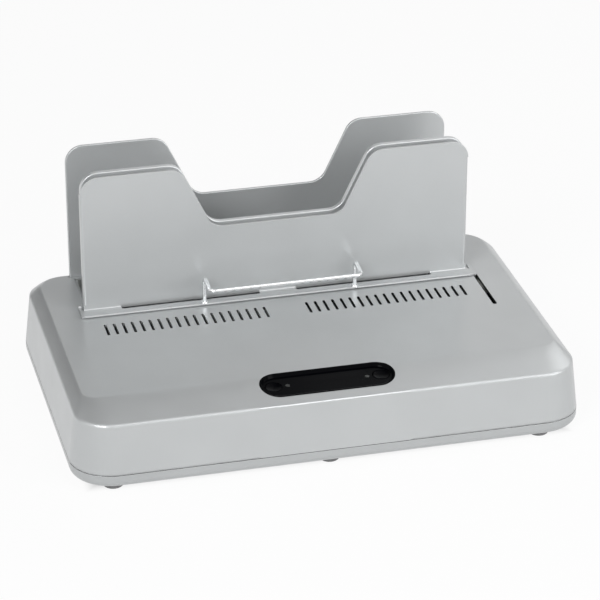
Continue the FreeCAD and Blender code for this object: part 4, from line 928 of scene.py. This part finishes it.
@dataclass
class Wardrobe:
    """All finishes of the machine, each made into a material once."""

    paint: Colour = (0.515, 0.530, 0.535)
    # Painted shade: the tray's silver is darker than the shell's to stand in for the shade on its
    # lower, rounder surface.
    tray_paint_with_painted_shade: Colour = (0.468, 0.482, 0.487)
    guide_paint: Colour = (0.530, 0.545, 0.550)
    # Painted light: the centre guide's silver is lighter than the other guides' same paint, to
    # stand in for the light on it.
    divider_paint_with_painted_light: Colour = (0.610, 0.628, 0.634)
    made: dict[Slot, bpy.types.Material] = field(default_factory=dict)

    def finishes(self) -> list[Finish]:
        """List the finish of every slot.

        Returns:
            The finishes, each with its slot.
        """
        cans_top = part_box("filter_capacitors")[1].z
        tray_edge = 0.6 * MM
        return [
            PaintedShell(Slot.SILVER_HOUSING, self.paint, 0.31, 0.48),
            PaintedShell(Slot.SILVER_TRAY, self.tray_paint_with_painted_shade, 0.34, 0.46,
                         crease_radius=tray_edge, roll_radius=tray_edge),
            SatinPaint(Slot.SILVER_GUIDE, self.guide_paint, 0.31, 0.44, edge=0.25 * MM),
            SatinPaint(Slot.SILVER_DIVIDER, self.divider_paint_with_painted_light, 0.33, 0.44),
            LinedMetal(Slot.BRIGHT_WIRE, (0.80, 0.81, 0.82), 0.15, 1.0,
                       line=0.5 * MM, line_height=0.002 * MM),
            Rubber(Slot.BLACK_RUBBER, (0.225, 0.225, 0.228), 0.66, dust=(0.30, 0.29, 0.28)),
            SmokedGloss(Slot.BLACK_GLOSS, (0.0016, 0.0018, 0.0026), 0.09, refraction=1.10),
            ClearLens(Slot.CLEAR_LENS, (0.045, 0.050, 0.045), 0.08),
            MouldedPlastic(Slot.WHITE_PLASTIC, (0.80, 0.80, 0.76), 0.42, dust=(0.55, 0.54, 0.5)),
            MouldedPlastic(Slot.DARK_PLASTIC, (0.035, 0.035, 0.038), 0.55),
            LinedMetal(Slot.GROUND_STEEL, (0.62, 0.63, 0.64), 0.22, 1.0, grain=Grain.ALONG_Y),
            ZincPlate(Slot.ZINC_STEEL, (0.58, 0.59, 0.60), 0.34, 1.0, grain=Grain.ALONG_X),
            LinedMetal(Slot.BRASS_PARTS, (0.66, 0.50, 0.22), 0.28, 1.0),
            LinedMetal(Slot.BARE_ALUMINIUM, (0.70, 0.71, 0.72), 0.40, 1.0, grain=Grain.ALONG_X,
                       line=0.4 * MM, line_height=0.006 * MM),
            Ceramic(Slot.CERAMIC, (0.84, 0.82, 0.76), 0.75),
            CircuitBoard(Slot.GREEN_BOARD, (0.035, 0.19, 0.075), 0.32),
            Laminations(Slot.IRON_CORE, (0.16, 0.155, 0.15), 0.45),
            ShrinkSleeve(Slot.CAN_SLEEVE, (0.025, 0.035, 0.10), 0.22, top=cans_top),
            WovenSleeve(Slot.LEAD_SLEEVE, (0.70, 0.66, 0.58), 0.75),
            MouldedPlastic(Slot.GREEN_TERMINAL, (0.05, 0.29, 0.12), 0.45),
        ]

    def fill(self) -> None:
        """Make the material of every slot."""
        for finish in self.finishes():
            self.made[finish.slot] = finish.material()

    def of_node(self, node: str) -> bpy.types.Material:
        """Give the material that the record asks for on a node of the frame."""
        slots = {part["node"]: part["material_slot"] for part in frame["record"]["subparts"]}
        return self.made[Slot(slots[node])]


@dataclass
class PhotoCamera:
    """Camera at the place that the photograph was taken from."""

    azimuth: float = -14.09
    elevation: float = 26.42
    place: Vector = field(default_factory=lambda: Vector((-470.42, -1890.00, 1042.56)) * MM)
    sensor: float = 36.0
    lens: float = 171.33
    clip: Range = (0.05, 50.0)

    def build(self) -> None:
        """Make the camera and make it the scene's own."""
        turn = math.radians(self.azimuth)
        rise = math.radians(self.elevation)
        level = math.cos(rise)
        back = Vector((math.sin(turn) * level, -math.cos(turn) * level, math.sin(rise)))
        right = Vector((math.cos(turn), math.sin(turn), 0.0))
        up = back.cross(right)
        axes = Matrix((right, up, back)).transposed().to_4x4()
        data = bpy.data.cameras.new("photo_camera")
        data.sensor_width = self.sensor
        data.lens = self.lens
        data.clip_start, data.clip_end = self.clip
        camera = bpy.data.objects.new("photo_camera", data)
        camera.matrix_world = Matrix.Translation(self.place) @ axes
        bpy.context.scene.collection.objects.link(camera)
        bpy.context.scene.camera = camera


@dataclass(frozen=True)
class Lamp:
    """Soft square lamp that looks at the machine."""

    name: str
    place: Triple
    size: float
    power: float
    aim: Triple = (0, 0, 60 * MM)

    def build(self) -> None:
        """Make the lamp."""
        data = bpy.data.lights.new(self.name, "AREA")
        data.size = self.size
        data.energy = self.power
        lamp = bpy.data.objects.new(self.name, data)
        lamp.location = self.place
        lamp.rotation_mode = "QUATERNION"
        away = Vector(self.place) - Vector(self.aim)
        lamp.rotation_quaternion = away.to_track_quat("Z", "Y")
        bpy.context.scene.collection.objects.link(lamp)


@dataclass(frozen=True)
class Card:
    """Grey card of the tent behind the machine, by the directions that it fills.

    Directions are degrees to the right of straight back, and degrees above the floor.
    """

    name: str
    turns: Range
    rises: Range
    level: float
    reach: float = 3.0

    def corners(self) -> list[Vector]:
        """Place the four corners of the card.

        Returns:
            The corners in order.
        """
        left, right = (math.radians(turn) for turn in self.turns)
        low, high = (math.radians(rise) for rise in self.rises)
        points = []
        for turn, rise in ((left, low), (right, low), (right, high), (left, high)):
            level = math.cos(rise)
            ahead = Vector((math.sin(turn) * level, math.cos(turn) * level, math.sin(rise)))
            points.append(ahead * self.reach)
        return points


@dataclass
class Studio:
    """White floor, even world light, soft lamps and the grey cards that the satin paint mirrors.

    Each row of cards has its name, its reach above the floor, and the levels of its cards from
    left to right. Each column has its name and its reach to the right of straight back.
    """

    floor_size: float = 12.0
    floor_drop: float = 0.02 * MM
    floor_white: float = 0.86
    floor_contrast: float = 0.01
    floor_grain: float = 40.0
    world_level: float = 0.26
    seen_level: float = 1.0
    floor_glow: float = 0.93
    shade_left: float = 0.25
    shade_depth: float = 30 * MM
    shade_reach: float = -6 * MM
    lamps: tuple[Lamp, ...] = (
        Lamp("right_lamp", (0.90, 0.6, 0.85), 0.6, 1.6),
        Lamp("near_lamp", (1.0, -1.1, 0.7), 0.8, 9.0),
        Lamp("upper_left_lamp", (-1.2, -1.4, 1.4), 0.9, 25.5),
        Lamp("high_lamp", (0.5, -1.0, 2.0), 0.6, 4.5),
    )
    rows: tuple[tuple[str, Range, tuple[float, ...]], ...] = (
        ("low", (4.0, 22.0), (0.43, 0.12, 0.80, 0.86, 0.84, 0.72)),
        ("middle", (22.0, 40.0), (0.36, 0.04, 0.56, 0.50, 0.98, 0.16)),
        ("high", (40.0, 68.0), (0.60, 0.08, 0.05, 0.29, 0.58, 0.97)),
    )
    columns: tuple[tuple[str, Range], ...] = (
        ("far_left", (-75.0, -35.0)), ("left", (-35.0, -12.0)), ("near_left", (-12.0, 4.0)),
        ("near_right", (4.0, 16.0)), ("right", (16.0, 30.0)), ("far_right", (30.0, 60.0)),
    )
    side_card: Card = Card("low_side_right_card", (60.0, 110.0), (4.0, 40.0), 1.00)

    def world(self) -> None:
        """Make the world: white where it is seen, and an even soft light elsewhere."""
        world = bpy.data.worlds.new("studio")
        world.use_nodes = True
        bpy.context.scene.world = world
        nodes = Nodes(world.node_tree)
        background = world.node_tree.nodes["Background"]
        strength = nodes.spread(nodes.seen(), *WHOLE, self.world_level, self.seen_level)
        nodes.feed(background.inputs["Strength"], strength)
        nodes.feed(background.inputs["Color"], (1.0, 1.0, 1.0))

    def plane(self, name: str, corners: Iterable[Vector], material: bpy.types.Material) -> Piece:
        """Make one flat stage piece.

        Args:
            name: Name of the piece.
            corners: Its corners in order.
            material: Its material.

        Returns:
            The new object.
        """
        mesh = bpy.data.meshes.new(name)
        points = list(corners)
        mesh.from_pydata(points, [], [tuple(range(len(points)))])
        mesh.materials.append(material)
        piece = bpy.data.objects.new(name, mesh)
        bpy.context.scene.collection.objects.link(piece)
        return piece

    def shade_under(self, nodes: Nodes) -> Socket:
        """Darken the floor below and close beside the machine, where it lies in shade.

        Args:
            nodes: Tree of the floor's material.

        Returns:
            The share of the floor's white that is left.
        """
        where = nodes.parts(nodes.new("NewGeometry").outputs["Position"])
        gaps = []
        for axis, low, high in (("X", cad_low[0], cad_high[0]), ("Y", cad_low[1], cad_high[1])):
            shift = nodes.sums("SUBTRACT", where[axis], (low + high) / 2)
            half = (high - low) / 2
            gaps.append(nodes.spread(nodes.sums("ABSOLUTE", shift), half - self.shade_depth,
                                     half + self.shade_reach, ease="SMOOTHSTEP"))
        return nodes.spread(nodes.sums("MAXIMUM", *gaps), *WHOLE, self.shade_left, 1.0)

    def floor_material(self) -> bpy.types.Material:
        """Make the pale floor's material, which shows as white and keeps a soft shadow.

        Returns:
            The new material.
        """
        nodes = MaterialNodes("pale_floor")
        grain = nodes.new("TexNoise")
        nodes.feed(grain.inputs["Scale"], self.floor_grain)
        matt = nodes.new("BsdfDiffuse")
        tone = nodes.sway(grain.outputs["Fac"], self.floor_white, self.floor_contrast, WHOLE)
        nodes.feed(matt.inputs["Color"], tone)
        glow = nodes.new("Emission")
        strength = nodes.sums("MULTIPLY", self.shade_under(nodes), self.seen_level)
        nodes.feed(glow.inputs["Strength"], strength)
        mix = nodes.new("MixShader")
        share = nodes.spread(nodes.seen(), *WHOLE, 0.0, self.floor_glow)
        for socket, value in zip(mix.inputs, (share, matt.outputs[0], glow.outputs[0])):
            nodes.feed(socket, value)
        nodes.feed(nodes.output, mix.outputs[0])
        return nodes.material

    def card_material(self, level: float) -> bpy.types.Material:
        """Make the even grey of a card.

        Args:
            level: Brightness of the card.

        Returns:
            The new material.
        """
        nodes = MaterialNodes("grey_card")
        glow = nodes.new("Emission")
        nodes.feed(glow.inputs["Color"], (level, level, level))
        nodes.feed(nodes.output, glow.outputs[0])
        return nodes.material

    def cards(self) -> list[Card]:
        """List the cards of all rows, and the one beside them.

        Returns:
            The cards, row by row.
        """
        cards = [Card(f"{row}_{column}_card", turns, rises, level)
                 for row, rises, levels in self.rows
                 for (column, turns), level in zip(self.columns, levels)]
        return cards + [self.side_card]

    def hang(self, card: Card) -> None:
        """Hang one card so that only mirrors see it.

        Args:
            card: The card.
        """
        piece = self.plane(card.name, card.corners(), self.card_material(card.level))
        for kind in ("camera", "diffuse", "shadow", "transmission"):
            setattr(piece, "visible_" + kind, False)

    def build(self) -> None:
        """Make the floor, the world, the lamps and the cards."""
        half = self.floor_size / 2
        signs = ((-1, -1), (1, -1), (1, 1), (-1, 1))
        corners = [Vector((half * x, half * y, -self.floor_drop)) for x, y in signs]
        self.plane("floor", corners, self.floor_material())
        self.world()
        for lamp in self.lamps:
            lamp.build()
        for card in self.cards():
            self.hang(card)
        bpy.context.scene.view_settings.view_transform = "Standard"


def islands(node: str) -> list[list[Vector]]:
    """Split a node of the frame into its separate solids.

    Args:
        node: Name of the node.

    Returns:
        The corners of each solid, in metres.
    """
    mesh = frame["nodes"][node].data
    per_metre = 1e6  # corners at the same micrometre are one
    keys = {}
    parent = []

    def root(index: int) -> int:
        """Find the corner that stands for a corner's whole solid.

        Args:
            index: Number of the corner.

        Returns:
            The number of the one that stands for its solid.
        """
        while parent[index] != index:
            parent[index] = parent[parent[index]]
            index = parent[index]
        return index

    ids = []
    for vertex in mesh.vertices:
        key = tuple(round(part * per_metre) for part in vertex.co)
        if key not in keys:
            keys[key] = len(parent)
            parent.append(len(parent))
        ids.append(keys[key])
    for edge in mesh.edges:
        first, second = (root(ids[index]) for index in edge.vertices)
        parent[first] = second
    groups = {}
    for vertex, index in zip(mesh.vertices, ids):
        groups.setdefault(root(index), []).append(vertex.co.copy())
    return list(groups.values())


def new_piece(name: str, mesh: bmesh.types.BMesh, material: bpy.types.Material,
              body: str) -> Piece:
    """Turn a finished mesh into a shaded piece that rides on a body.

    Args:
        name: Name of the piece.
        mesh: Its mesh, which is freed.
        material: Its finish.
        body: Name of the body that carries it.

    Returns:
        The new object.
    """
    data = bpy.data.meshes.new(name)
    bmesh.ops.recalc_face_normals(mesh, faces=mesh.faces)
    mesh.to_mesh(data)
    mesh.free()
    data.materials.append(material)
    for polygon in data.polygons:
        polygon.use_smooth = True
    data.set_sharp_from_angle(angle=SHARP_ANGLE)
    piece = bpy.data.objects.new(name, data)
    bpy.context.scene.collection.objects.link(piece)
    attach(piece, body)
    return piece


def bridge(mesh: bmesh.types.BMesh, first: Ring, second: Ring) -> None:
    """Join two rings of as many corners by a band of faces.

    Args:
        mesh: Mesh that holds the rings.
        first: One ring.
        second: The next one.
    """
    for index in range(len(first)):
        after = (index + 1) % len(first)
        mesh.faces.new((first[index], first[after], second[after], second[index]))


def lathe_grid(mesh: bmesh.types.BMesh, rows: int, columns: int,
               point: Callable[[int, float], Vector]) -> None:
    """Add a closed turned skin.

    Args:
        mesh: Mesh that it is added to.
        rows: Number of rings.
        columns: Corners in each ring.
        point: Gives a corner from its ring's number and its angle.
    """
    angles = [2 * math.pi * column / columns for column in range(columns)]
    rings = [[mesh.verts.new(point(row, angle)) for angle in angles] for row in range(rows)]
    for first, second in zip(rings, rings[1:]):
        bridge(mesh, first, second)
    mesh.faces.new(rings[0])
    mesh.faces.new(list(reversed(rings[-1])))


@dataclass
class CrossScrew:
    """Pan head screw with a cross recess and a rolled thread, made to the size of a plain one.

    Shares of the head are shares of its radius or its height, and shares of the recess are
    shares of its reach. The head and the point are looked for in the end share of the length.
    """

    pitch: float = 0.9 * MM
    thread_share: float = 0.12
    point_start: float = 0.88
    point_taper: float = 0.55
    eye_share: float = 0.04
    face_share: float = 0.90
    crown_share: float = 0.35
    crown_rise: float = 0.6
    rim_share: float = 0.985
    rim_start: float = 0.95
    rim_end: float = 1.5
    neck_share: float = 1.02
    recess_share: float = 0.55
    recess_depth_share: float = 0.55
    slot_share: float = 0.24
    slope_share: float = 0.5
    wall_share: float = 0.4
    end_share: float = 0.3
    rim_found: float = 0.98
    point_layer: float = 0.1 * MM
    tilt: float = 0.02 * MM
    tilt_corners: int = 8
    columns: int = 28
    head_rows: int = 12
    rows_per_pitch: int = 4
    fewest_rows: int = 4

    def axis_of(self, corners: list[Vector], centre: Vector) -> Vector:
        """Find the line that a plain screw lies along.

        Args:
            corners: Corners of its solid.
            centre: Middle of its box.

        Returns:
            Its direction, with either sense.
        """
        far = max(corners, key=lambda corner: (corner - centre).length)
        rough = (far - centre).normalized()
        axes = (ALONG, Vector((0, 1, 0)), Vector((0, 0, 1)))
        axis = min(axes, key=lambda one: one.cross(rough).length)
        reaches = [[corner[side] for corner in corners] for side in range(2)]
        width, depth = (max(reach) - min(reach) for reach in reaches)
        if axis != axes[2] or depth <= width + self.tilt:
            return axis
        rising = sorted(corners, key=lambda corner: corner.z)
        lower = sum(rising[:self.tilt_corners], Vector()) / self.tilt_corners
        upper = sum(rising[-self.tilt_corners:], Vector()) / self.tilt_corners
        return (upper - lower).normalized()

    def measure(self, corners: list[Vector]) -> tuple[Vector, Vector, float, float, float, float]:
        """Read the size and the place of a plain screw.

        Args:
            corners: Corners of its solid.

        Returns:
            Top of the head, direction to the tip, length, radius of the head, radius of the
            shank, and height of the head.
        """
        low = Vector(min(corner[side] for corner in corners) for side in range(3))
        high = Vector(max(corner[side] for corner in corners) for side in range(3))
        centre = (low + high) / 2
        axis = self.axis_of(corners, centre)
        ways = [corner - centre for corner in corners]
        places = [way.dot(axis) for way in ways]
        radii = [(way - axis * place).length for way, place in zip(ways, places)]
        start, end = min(places), max(places)
        margin = (end - start) * self.end_share
        near = max(radius for radius, place in zip(radii, places) if place < start + margin)
        away = max(radius for radius, place in zip(radii, places) if place > end - margin)
        if near < away:
            axis = -axis
            places = [-place for place in places]
            start, end = -end, -start
        head = max(near, away)
        rim = max(place for radius, place in zip(radii, places)
                  if radius > head * self.rim_found)
        shank = max(radius for radius, place in zip(radii, places)
                    if place > end - self.point_layer)
        return centre + axis * start, axis, end - start, head, shank, rim - start

    def cross(self, radius: float, angle: float, reach: float) -> float:
        """Shape the recess, four slots that slope in from their ends and their walls.

        Args:
            radius: Distance from the middle of the head.
            angle: Direction from it.
            reach: Radius of the recess.

        Returns:
            The share of the recess's depth there, from nought to one.
        """
        along = max(abs(math.cos(angle)), abs(math.sin(angle))) * radius
        beside = min(abs(math.cos(angle)), abs(math.sin(angle))) * radius
        slot = reach * self.slot_share
        if along > reach or beside > slot:
            return 0.0
        return (min(1.0, (reach - along) / (reach * self.slope_share))
                * min(1.0, (slot - beside) / (slot * self.wall_share)))

    def profile(self, length: float, head: float, shank: float,
                rise: float) -> list[tuple[float, float, bool]]:
        """Draw the outline from the middle of the head to the point.

        Args:
            length: Length of the screw.
            head: Radius of the head.
            shank: Radius of the shank.
            rise: Height of the head.

        Returns:
            Radius, distance below the top, and whether the recess reaches it, for each ring. The
            threaded rings have their radius as a negative number.
        """
        crown = rise * self.crown_share
        rings = []
        for row in range(self.head_rows):
            share = row / (self.head_rows - 1)
            radius = head * (self.eye_share + self.face_share * share)
            rings.append((radius, crown * share * share * self.crown_rise, True))
        rings += [(head * self.rim_share, crown * self.rim_start, False),
                  (head, crown * self.rim_end, False), (head, rise, False),
                  (shank * self.neck_share, rise, False)]
        steps = max(self.fewest_rows, int((length - rise) / self.pitch * self.rows_per_pitch))
        for step in range(1, steps + 1):
            share = step / steps
            beyond = max(0.0, share - self.point_start) / (1.0 - self.point_start)
            radius = shank * (1.0 - beyond * self.point_taper)
            rings.append((-radius, rise + (length - rise) * share, False))
        return rings

    def add(self, mesh: bmesh.types.BMesh, corners: list[Vector]) -> None:
        """Add one screw in the place of a plain one.

        Args:
            mesh: Mesh that it is added to.
            corners: Corners of the plain screw's solid.
        """
        top, axis, length, head, shank, rise = self.measure(corners)
        side = axis.orthogonal().normalized()
        other = axis.cross(side)
        rings = self.profile(length, head, shank, rise)
        reach = head * self.recess_share

        def point(row: int, angle: float) -> Vector:
            """Place one corner of the screw's skin.

            Args:
                row: Number of its ring.
                angle: Its angle round the axis.

            Returns:
                The corner.
            """
            radius, drop, recessed = rings[row]
            if recessed:
                drop += self.cross(radius, angle, reach) * rise * self.recess_depth_share
            if radius < 0:
                turn = (drop / self.pitch - angle / (2 * math.pi)) % 1.0
                radius = -radius * (1.0 - self.thread_share * abs(2 * turn - 1))
            middle = top + axis * drop
            return middle + side * (radius * math.cos(angle)) + other * (radius * math.sin(angle))

        lathe_grid(mesh, len(rings), self.columns, point)

    def replace(self, node: str, material: bpy.types.Material) -> Piece:
        """Stand detailed screws in for all plain ones of a node.

        Args:
            node: Name of the node.
            material: Finish of the screws.

        Returns:
            The piece that holds them all.
        """
        mesh = bmesh.new()
        for corners in islands(node):
            self.add(mesh, corners)
        piece = new_piece(node + "_cross_head", mesh, material, "base")
        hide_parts(node)
        return piece


@dataclass
class SubAssembly:
    """Nodes that belong together, dressed in the finishes that the record names.

    The screws are those of its nodes that get detailed screws of one pitch in their place.
    """

    wardrobe: Wardrobe
    nodes: tuple[str, ...] = ()
    screws: tuple[str, ...] = ()
    pitch: float = 0.7 * MM

    def dress(self) -> None:
        """Give every node of the group its finish."""
        for name in self.nodes:
            node = frame["nodes"][name]
            material = self.wardrobe.of_node(name)
            if not node.material_slots:
                node.data.materials.append(material)
            for slot in node.material_slots:
                slot.material = material

    def build(self) -> list[Piece]:
        """Build the pieces that the frame lacks: for a plain group, its detailed screws."""
        steel = self.wardrobe.made[Slot.ZINC_STEEL]
        return [CrossScrew(self.pitch).replace(node, steel) for node in self.screws]

    def finish(self) -> None:
        """Dress the group, build its pieces and report them."""
        self.dress()
        names = [piece.name for piece in self.build()]
        log.info("%s: %d nodes, pieces %s", type(self).__name__, len(self.nodes), names)


@dataclass
class Housing(SubAssembly):
    """Top shell, tray, feet and the long screws that hold them."""

    nodes: tuple[str, ...] = ("upper_housing", "bottom_cover", "rubber_feet", "housing_screws")
    screws: tuple[str, ...] = ("housing_screws",)
    pitch: float = 0.9 * MM


@dataclass
class SlidingGuide(SubAssembly):
    """Front guide with its wire pull, and the slide that carries it under the deck.

    Each ripple of a weld bead is its count round the bead and its share of the bead's size.
    """

    nodes: tuple[str, ...] = ("front_guide", "wire_handle", "slide_block", "friction_plug",
                              "slide_rod", "rod_brackets", "rod_clips")
    bead_spread: float = 0.8 * MM
    bead_height: float = 0.9 * MM
    bead_hollow: float = 0.7
    bead_overlap: float = 0.78
    bead_ripples: tuple[tuple[int, float], ...] = ((5, 0.10), (11, 0.05))
    bead_turn: float = 1.7
    bead_columns: int = 24
    bead_rows: int = 7
    foot_layer: float = 0.05 * MM

    def bead(self, mesh: bmesh.types.BMesh, foot: Vector, radius: float, phase: float) -> None:
        """Add one rippled weld bead round a foot of the wire.

        Args:
            mesh: Mesh that it is added to.
            foot: Point on the flange below the middle of the wire.
            radius: Radius of the wire's foot.
            phase: Turn of the ripples.
        """
        (wide_count, wide_share), (fine_count, fine_share) = self.bead_ripples

        def point(row: int, angle: float) -> Vector:
            """Place one corner of the bead's skin.

            Args:
                row: Number of its ring, from the flange up.
                angle: Its angle round the foot.

            Returns:
                The corner.
            """
            share = row / (self.bead_rows - 1)
            ripple = (1.0 + wide_share * math.sin(wide_count * angle + phase)
                      + fine_share * math.sin(fine_count * angle - phase))
            reach = radius + self.bead_spread * ripple * (1 - share) ** self.bead_hollow
            rise = self.bead_height * ripple * math.sin(share * math.pi / 2)
            return foot + Vector((reach * math.cos(angle), reach * math.sin(angle), rise))

        lathe_grid(mesh, self.bead_rows, self.bead_columns, point)

    def build(self) -> list[Piece]:
        """Build the weld beads at both feet of the wire.

        Returns:
            The piece that holds them.
        """
        foot_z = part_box("wire_handle")[0].z
        corners = [vertex.co for vertex in frame["nodes"]["wire_handle"].data.vertices]
        sole = [corner for corner in corners if abs(corner.z - foot_z) < self.foot_layer]
        mesh = bmesh.new()
        for index, side in enumerate((-1, 1)):
            near = [corner for corner in sole if corner.x * side > 0]
            middle = sum(near, Vector()) / len(near)
            radius = max((corner - middle).length for corner in near)
            self.bead(mesh, Vector((middle.x, middle.y, foot_z)), radius * self.bead_overlap,
                      self.bead_turn * index)
        wire = self.wardrobe.made[Slot.BRIGHT_WIRE]
        piece = new_piece("weld_beads", mesh, wire, "front_carriage")
        return [piece]


@dataclass
class FixedGuides(SubAssembly):
    """Centre and rear guides with their spacers and screws."""

    nodes: tuple[str, ...] = ("centre_guide", "rear_guide", "guide_spacers", "guide_screws")
    screws: tuple[str, ...] = ("guide_screws",)


@dataclass
class Heater(SubAssembly):
    """Trough, heater plate, elements and what holds and guards them."""

    nodes: tuple[str, ...] = ("heating_trough", "heater_plate", "heating_elements",
                              "element_clamps", "insulator_standoffs", "heater_screws",
                              "trough_screws", "heat_shield", "thermostat", "thermal_fuse")
    screws: tuple[str, ...] = ("heater_screws", "trough_screws")


@dataclass
class DocumentSensor(SubAssembly):
    """Sensor lever with its bracket, pin, spring and switch."""

    nodes: tuple[str, ...] = ("sensor_lever", "sensor_bracket", "sensor_pin", "sensor_spring",
                              "sensor_switch")


@dataclass
class ControlStrip(SubAssembly):
    """Dark window with its buttons and lights, and the board below it.

    The window's raised edge starts inside its rim, rolls over and ends in the housing's skin.
    Its inner and outer pairs are shares of the way out or in and of the rise, and its shoulder
    and underside pairs are lengths out or in and down.
    """

    nodes: tuple[str, ...] = ("control_window", "left_button", "right_button", "indicator_lights",
                              "control_board", "key_switches", "indicator_leds")
    lip: float = 1.5 * MM
    proud: float = 0.30 * MM
    inset: float = 1.1 * MM
    seat: float = 0.02 * MM
    sink: float = 0.05 * MM
    inner: Range = (0.45, 0.35)
    shoulder: Range = (0.1 * MM, 0.06 * MM)
    crest: float = 0.45
    outer: Range = (0.85, 0.75)
    underside: Range = (0.3 * MM, 0.4 * MM)
    face_layer: float = 0.1 * MM
    upward: float = 0.9
    arc_steps: int = 24
    straight_steps: int = 40
    above: float = 0.1

    def outline(self, centre: Vector, across: Vector, half_length: float,
                radius: float) -> list[tuple[Vector, Vector]]:
        """Give points and outward directions round the window.

        Args:
            centre: Middle of the window's face.
            across: Direction of its short side.
            half_length: Half of its length.
            radius: Half of its width.

        Returns:
            The points with their directions, in order round the window.
        """
        straight = half_length - radius
        points = []
        for side in (1, -1):
            for step in range(self.arc_steps + 1):
                angle = math.pi * (step / self.arc_steps - 0.5)
                out = (ALONG * math.cos(angle) + across * math.sin(angle)) * side
                points.append((centre + ALONG * (straight * side) + out * radius, out))
            for step in range(1, self.straight_steps):
                share = 1 - 2 * step / self.straight_steps
                place = centre + ALONG * (straight * side * share) + across * (radius * side)
                points.append((place, across * side))
        return points

    def deck_under(self, point: Vector) -> float:
        """Measure the housing's skin.

        Args:
            point: Point above or below it.

        Returns:
            The height of the skin there, or of the point where there is none.
        """
        housing = frame["nodes"]["upper_housing"]
        start = Vector((point.x, point.y, self.above))
        hit, place, _, _ = housing.ray_cast(start, Vector((0, 0, -1)))
        return place.z if hit else point.z

    def section(self, point: Vector, out: Vector, normal: Vector) -> list[Vector]:
        """Cut through the raised edge at one point of the window's rim.

        Args:
            point: Point on the rim.
            out: Direction away from the window.
            normal: Direction square to the window.

        Returns:
            The corners of the cut, from the window over the top and back below.
        """
        skin = max(self.deck_under(point + out * self.lip), point.z)
        top = skin + self.proud
        (inner_way, inner_rise), (outer_way, outer_rise) = self.inner, self.outer
        steps = (
            (-self.inset * inner_way, point.z + (top - point.z) * inner_rise),
            (self.shoulder[0], top - self.shoulder[1]),
            (self.lip * self.crest, top),
            (self.lip * outer_way, skin + self.proud * outer_rise),
            (self.lip, skin - self.sink),
        )
        return [
            point - out * self.inset + normal * self.seat,
            *(Vector((*(point + out * way).xy, height)) for way, height in steps),
            point - out * self.underside[0] - normal * self.underside[1],
        ]

    def build(self) -> list[Piece]:
        """Build the window's raised edge, which closes its well up to the skin of the housing.

        Returns:
            The edge.
        """
        window = frame["nodes"]["control_window"].data
        facing_up = [polygon for polygon in window.polygons if polygon.normal.z > self.upward]
        normal = max(facing_up, key=lambda one: one.area).normal.copy()
        across = normal.cross(ALONG).normalized()
        low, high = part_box("control_window")
        corners = [vertex.co for vertex in window.vertices]
        level = max(corner.dot(normal) for corner in corners)
        face = [corner for corner in corners if corner.dot(normal) > level - self.face_layer]
        reach = [corner.dot(across) for corner in face]
        middle = Vector(((low.x + high.x) / 2, 0, 0))
        centre = middle + across * ((min(reach) + max(reach)) / 2) + normal * level
        radius = (max(reach) - min(reach)) / 2
        mesh = bmesh.new()
        rings = [[mesh.verts.new(corner) for corner in self.section(point, out, normal)]
                 for point, out in self.outline(centre, across, (high.x - low.x) / 2, radius)]
        for first, second in zip(rings, rings[1:] + rings[:1]):
            bridge(mesh, first, second)
        piece = new_piece("window_edge", mesh, self.wardrobe.made[Slot.BLACK_GLOSS], "base")
        return [piece]


@dataclass
class PowerBoard(SubAssembly):
    """Main board with its transformer, relay, capacitors, terminals and sounder."""

    nodes: tuple[str, ...] = ("power_board", "transformer", "relay", "filter_capacitors",
                              "terminal_block", "buzzer", "board_screws")
    screws: tuple[str, ...] = ("board_screws",)
    pitch: float = 0.6 * MM


@dataclass
class MainsSupply(SubAssembly):
    """Mains inlet and the inner leads."""

    nodes: tuple[str, ...] = ("power_inlet", "inner_leads")


def main() -> None:
    """Build the camera, the studio and the machine in order."""
    PhotoCamera().build()
    Studio().build()
    wardrobe = Wardrobe()
    wardrobe.fill()
    for group in (Housing, SlidingGuide, FixedGuides, Heater, DocumentSensor, ControlStrip,
                  PowerBoard, MainsSupply):
        group(wardrobe).finish()


if __name__ == "__main__":
    logging.basicConfig(level=logging.INFO, format="%(message)s")
    main()
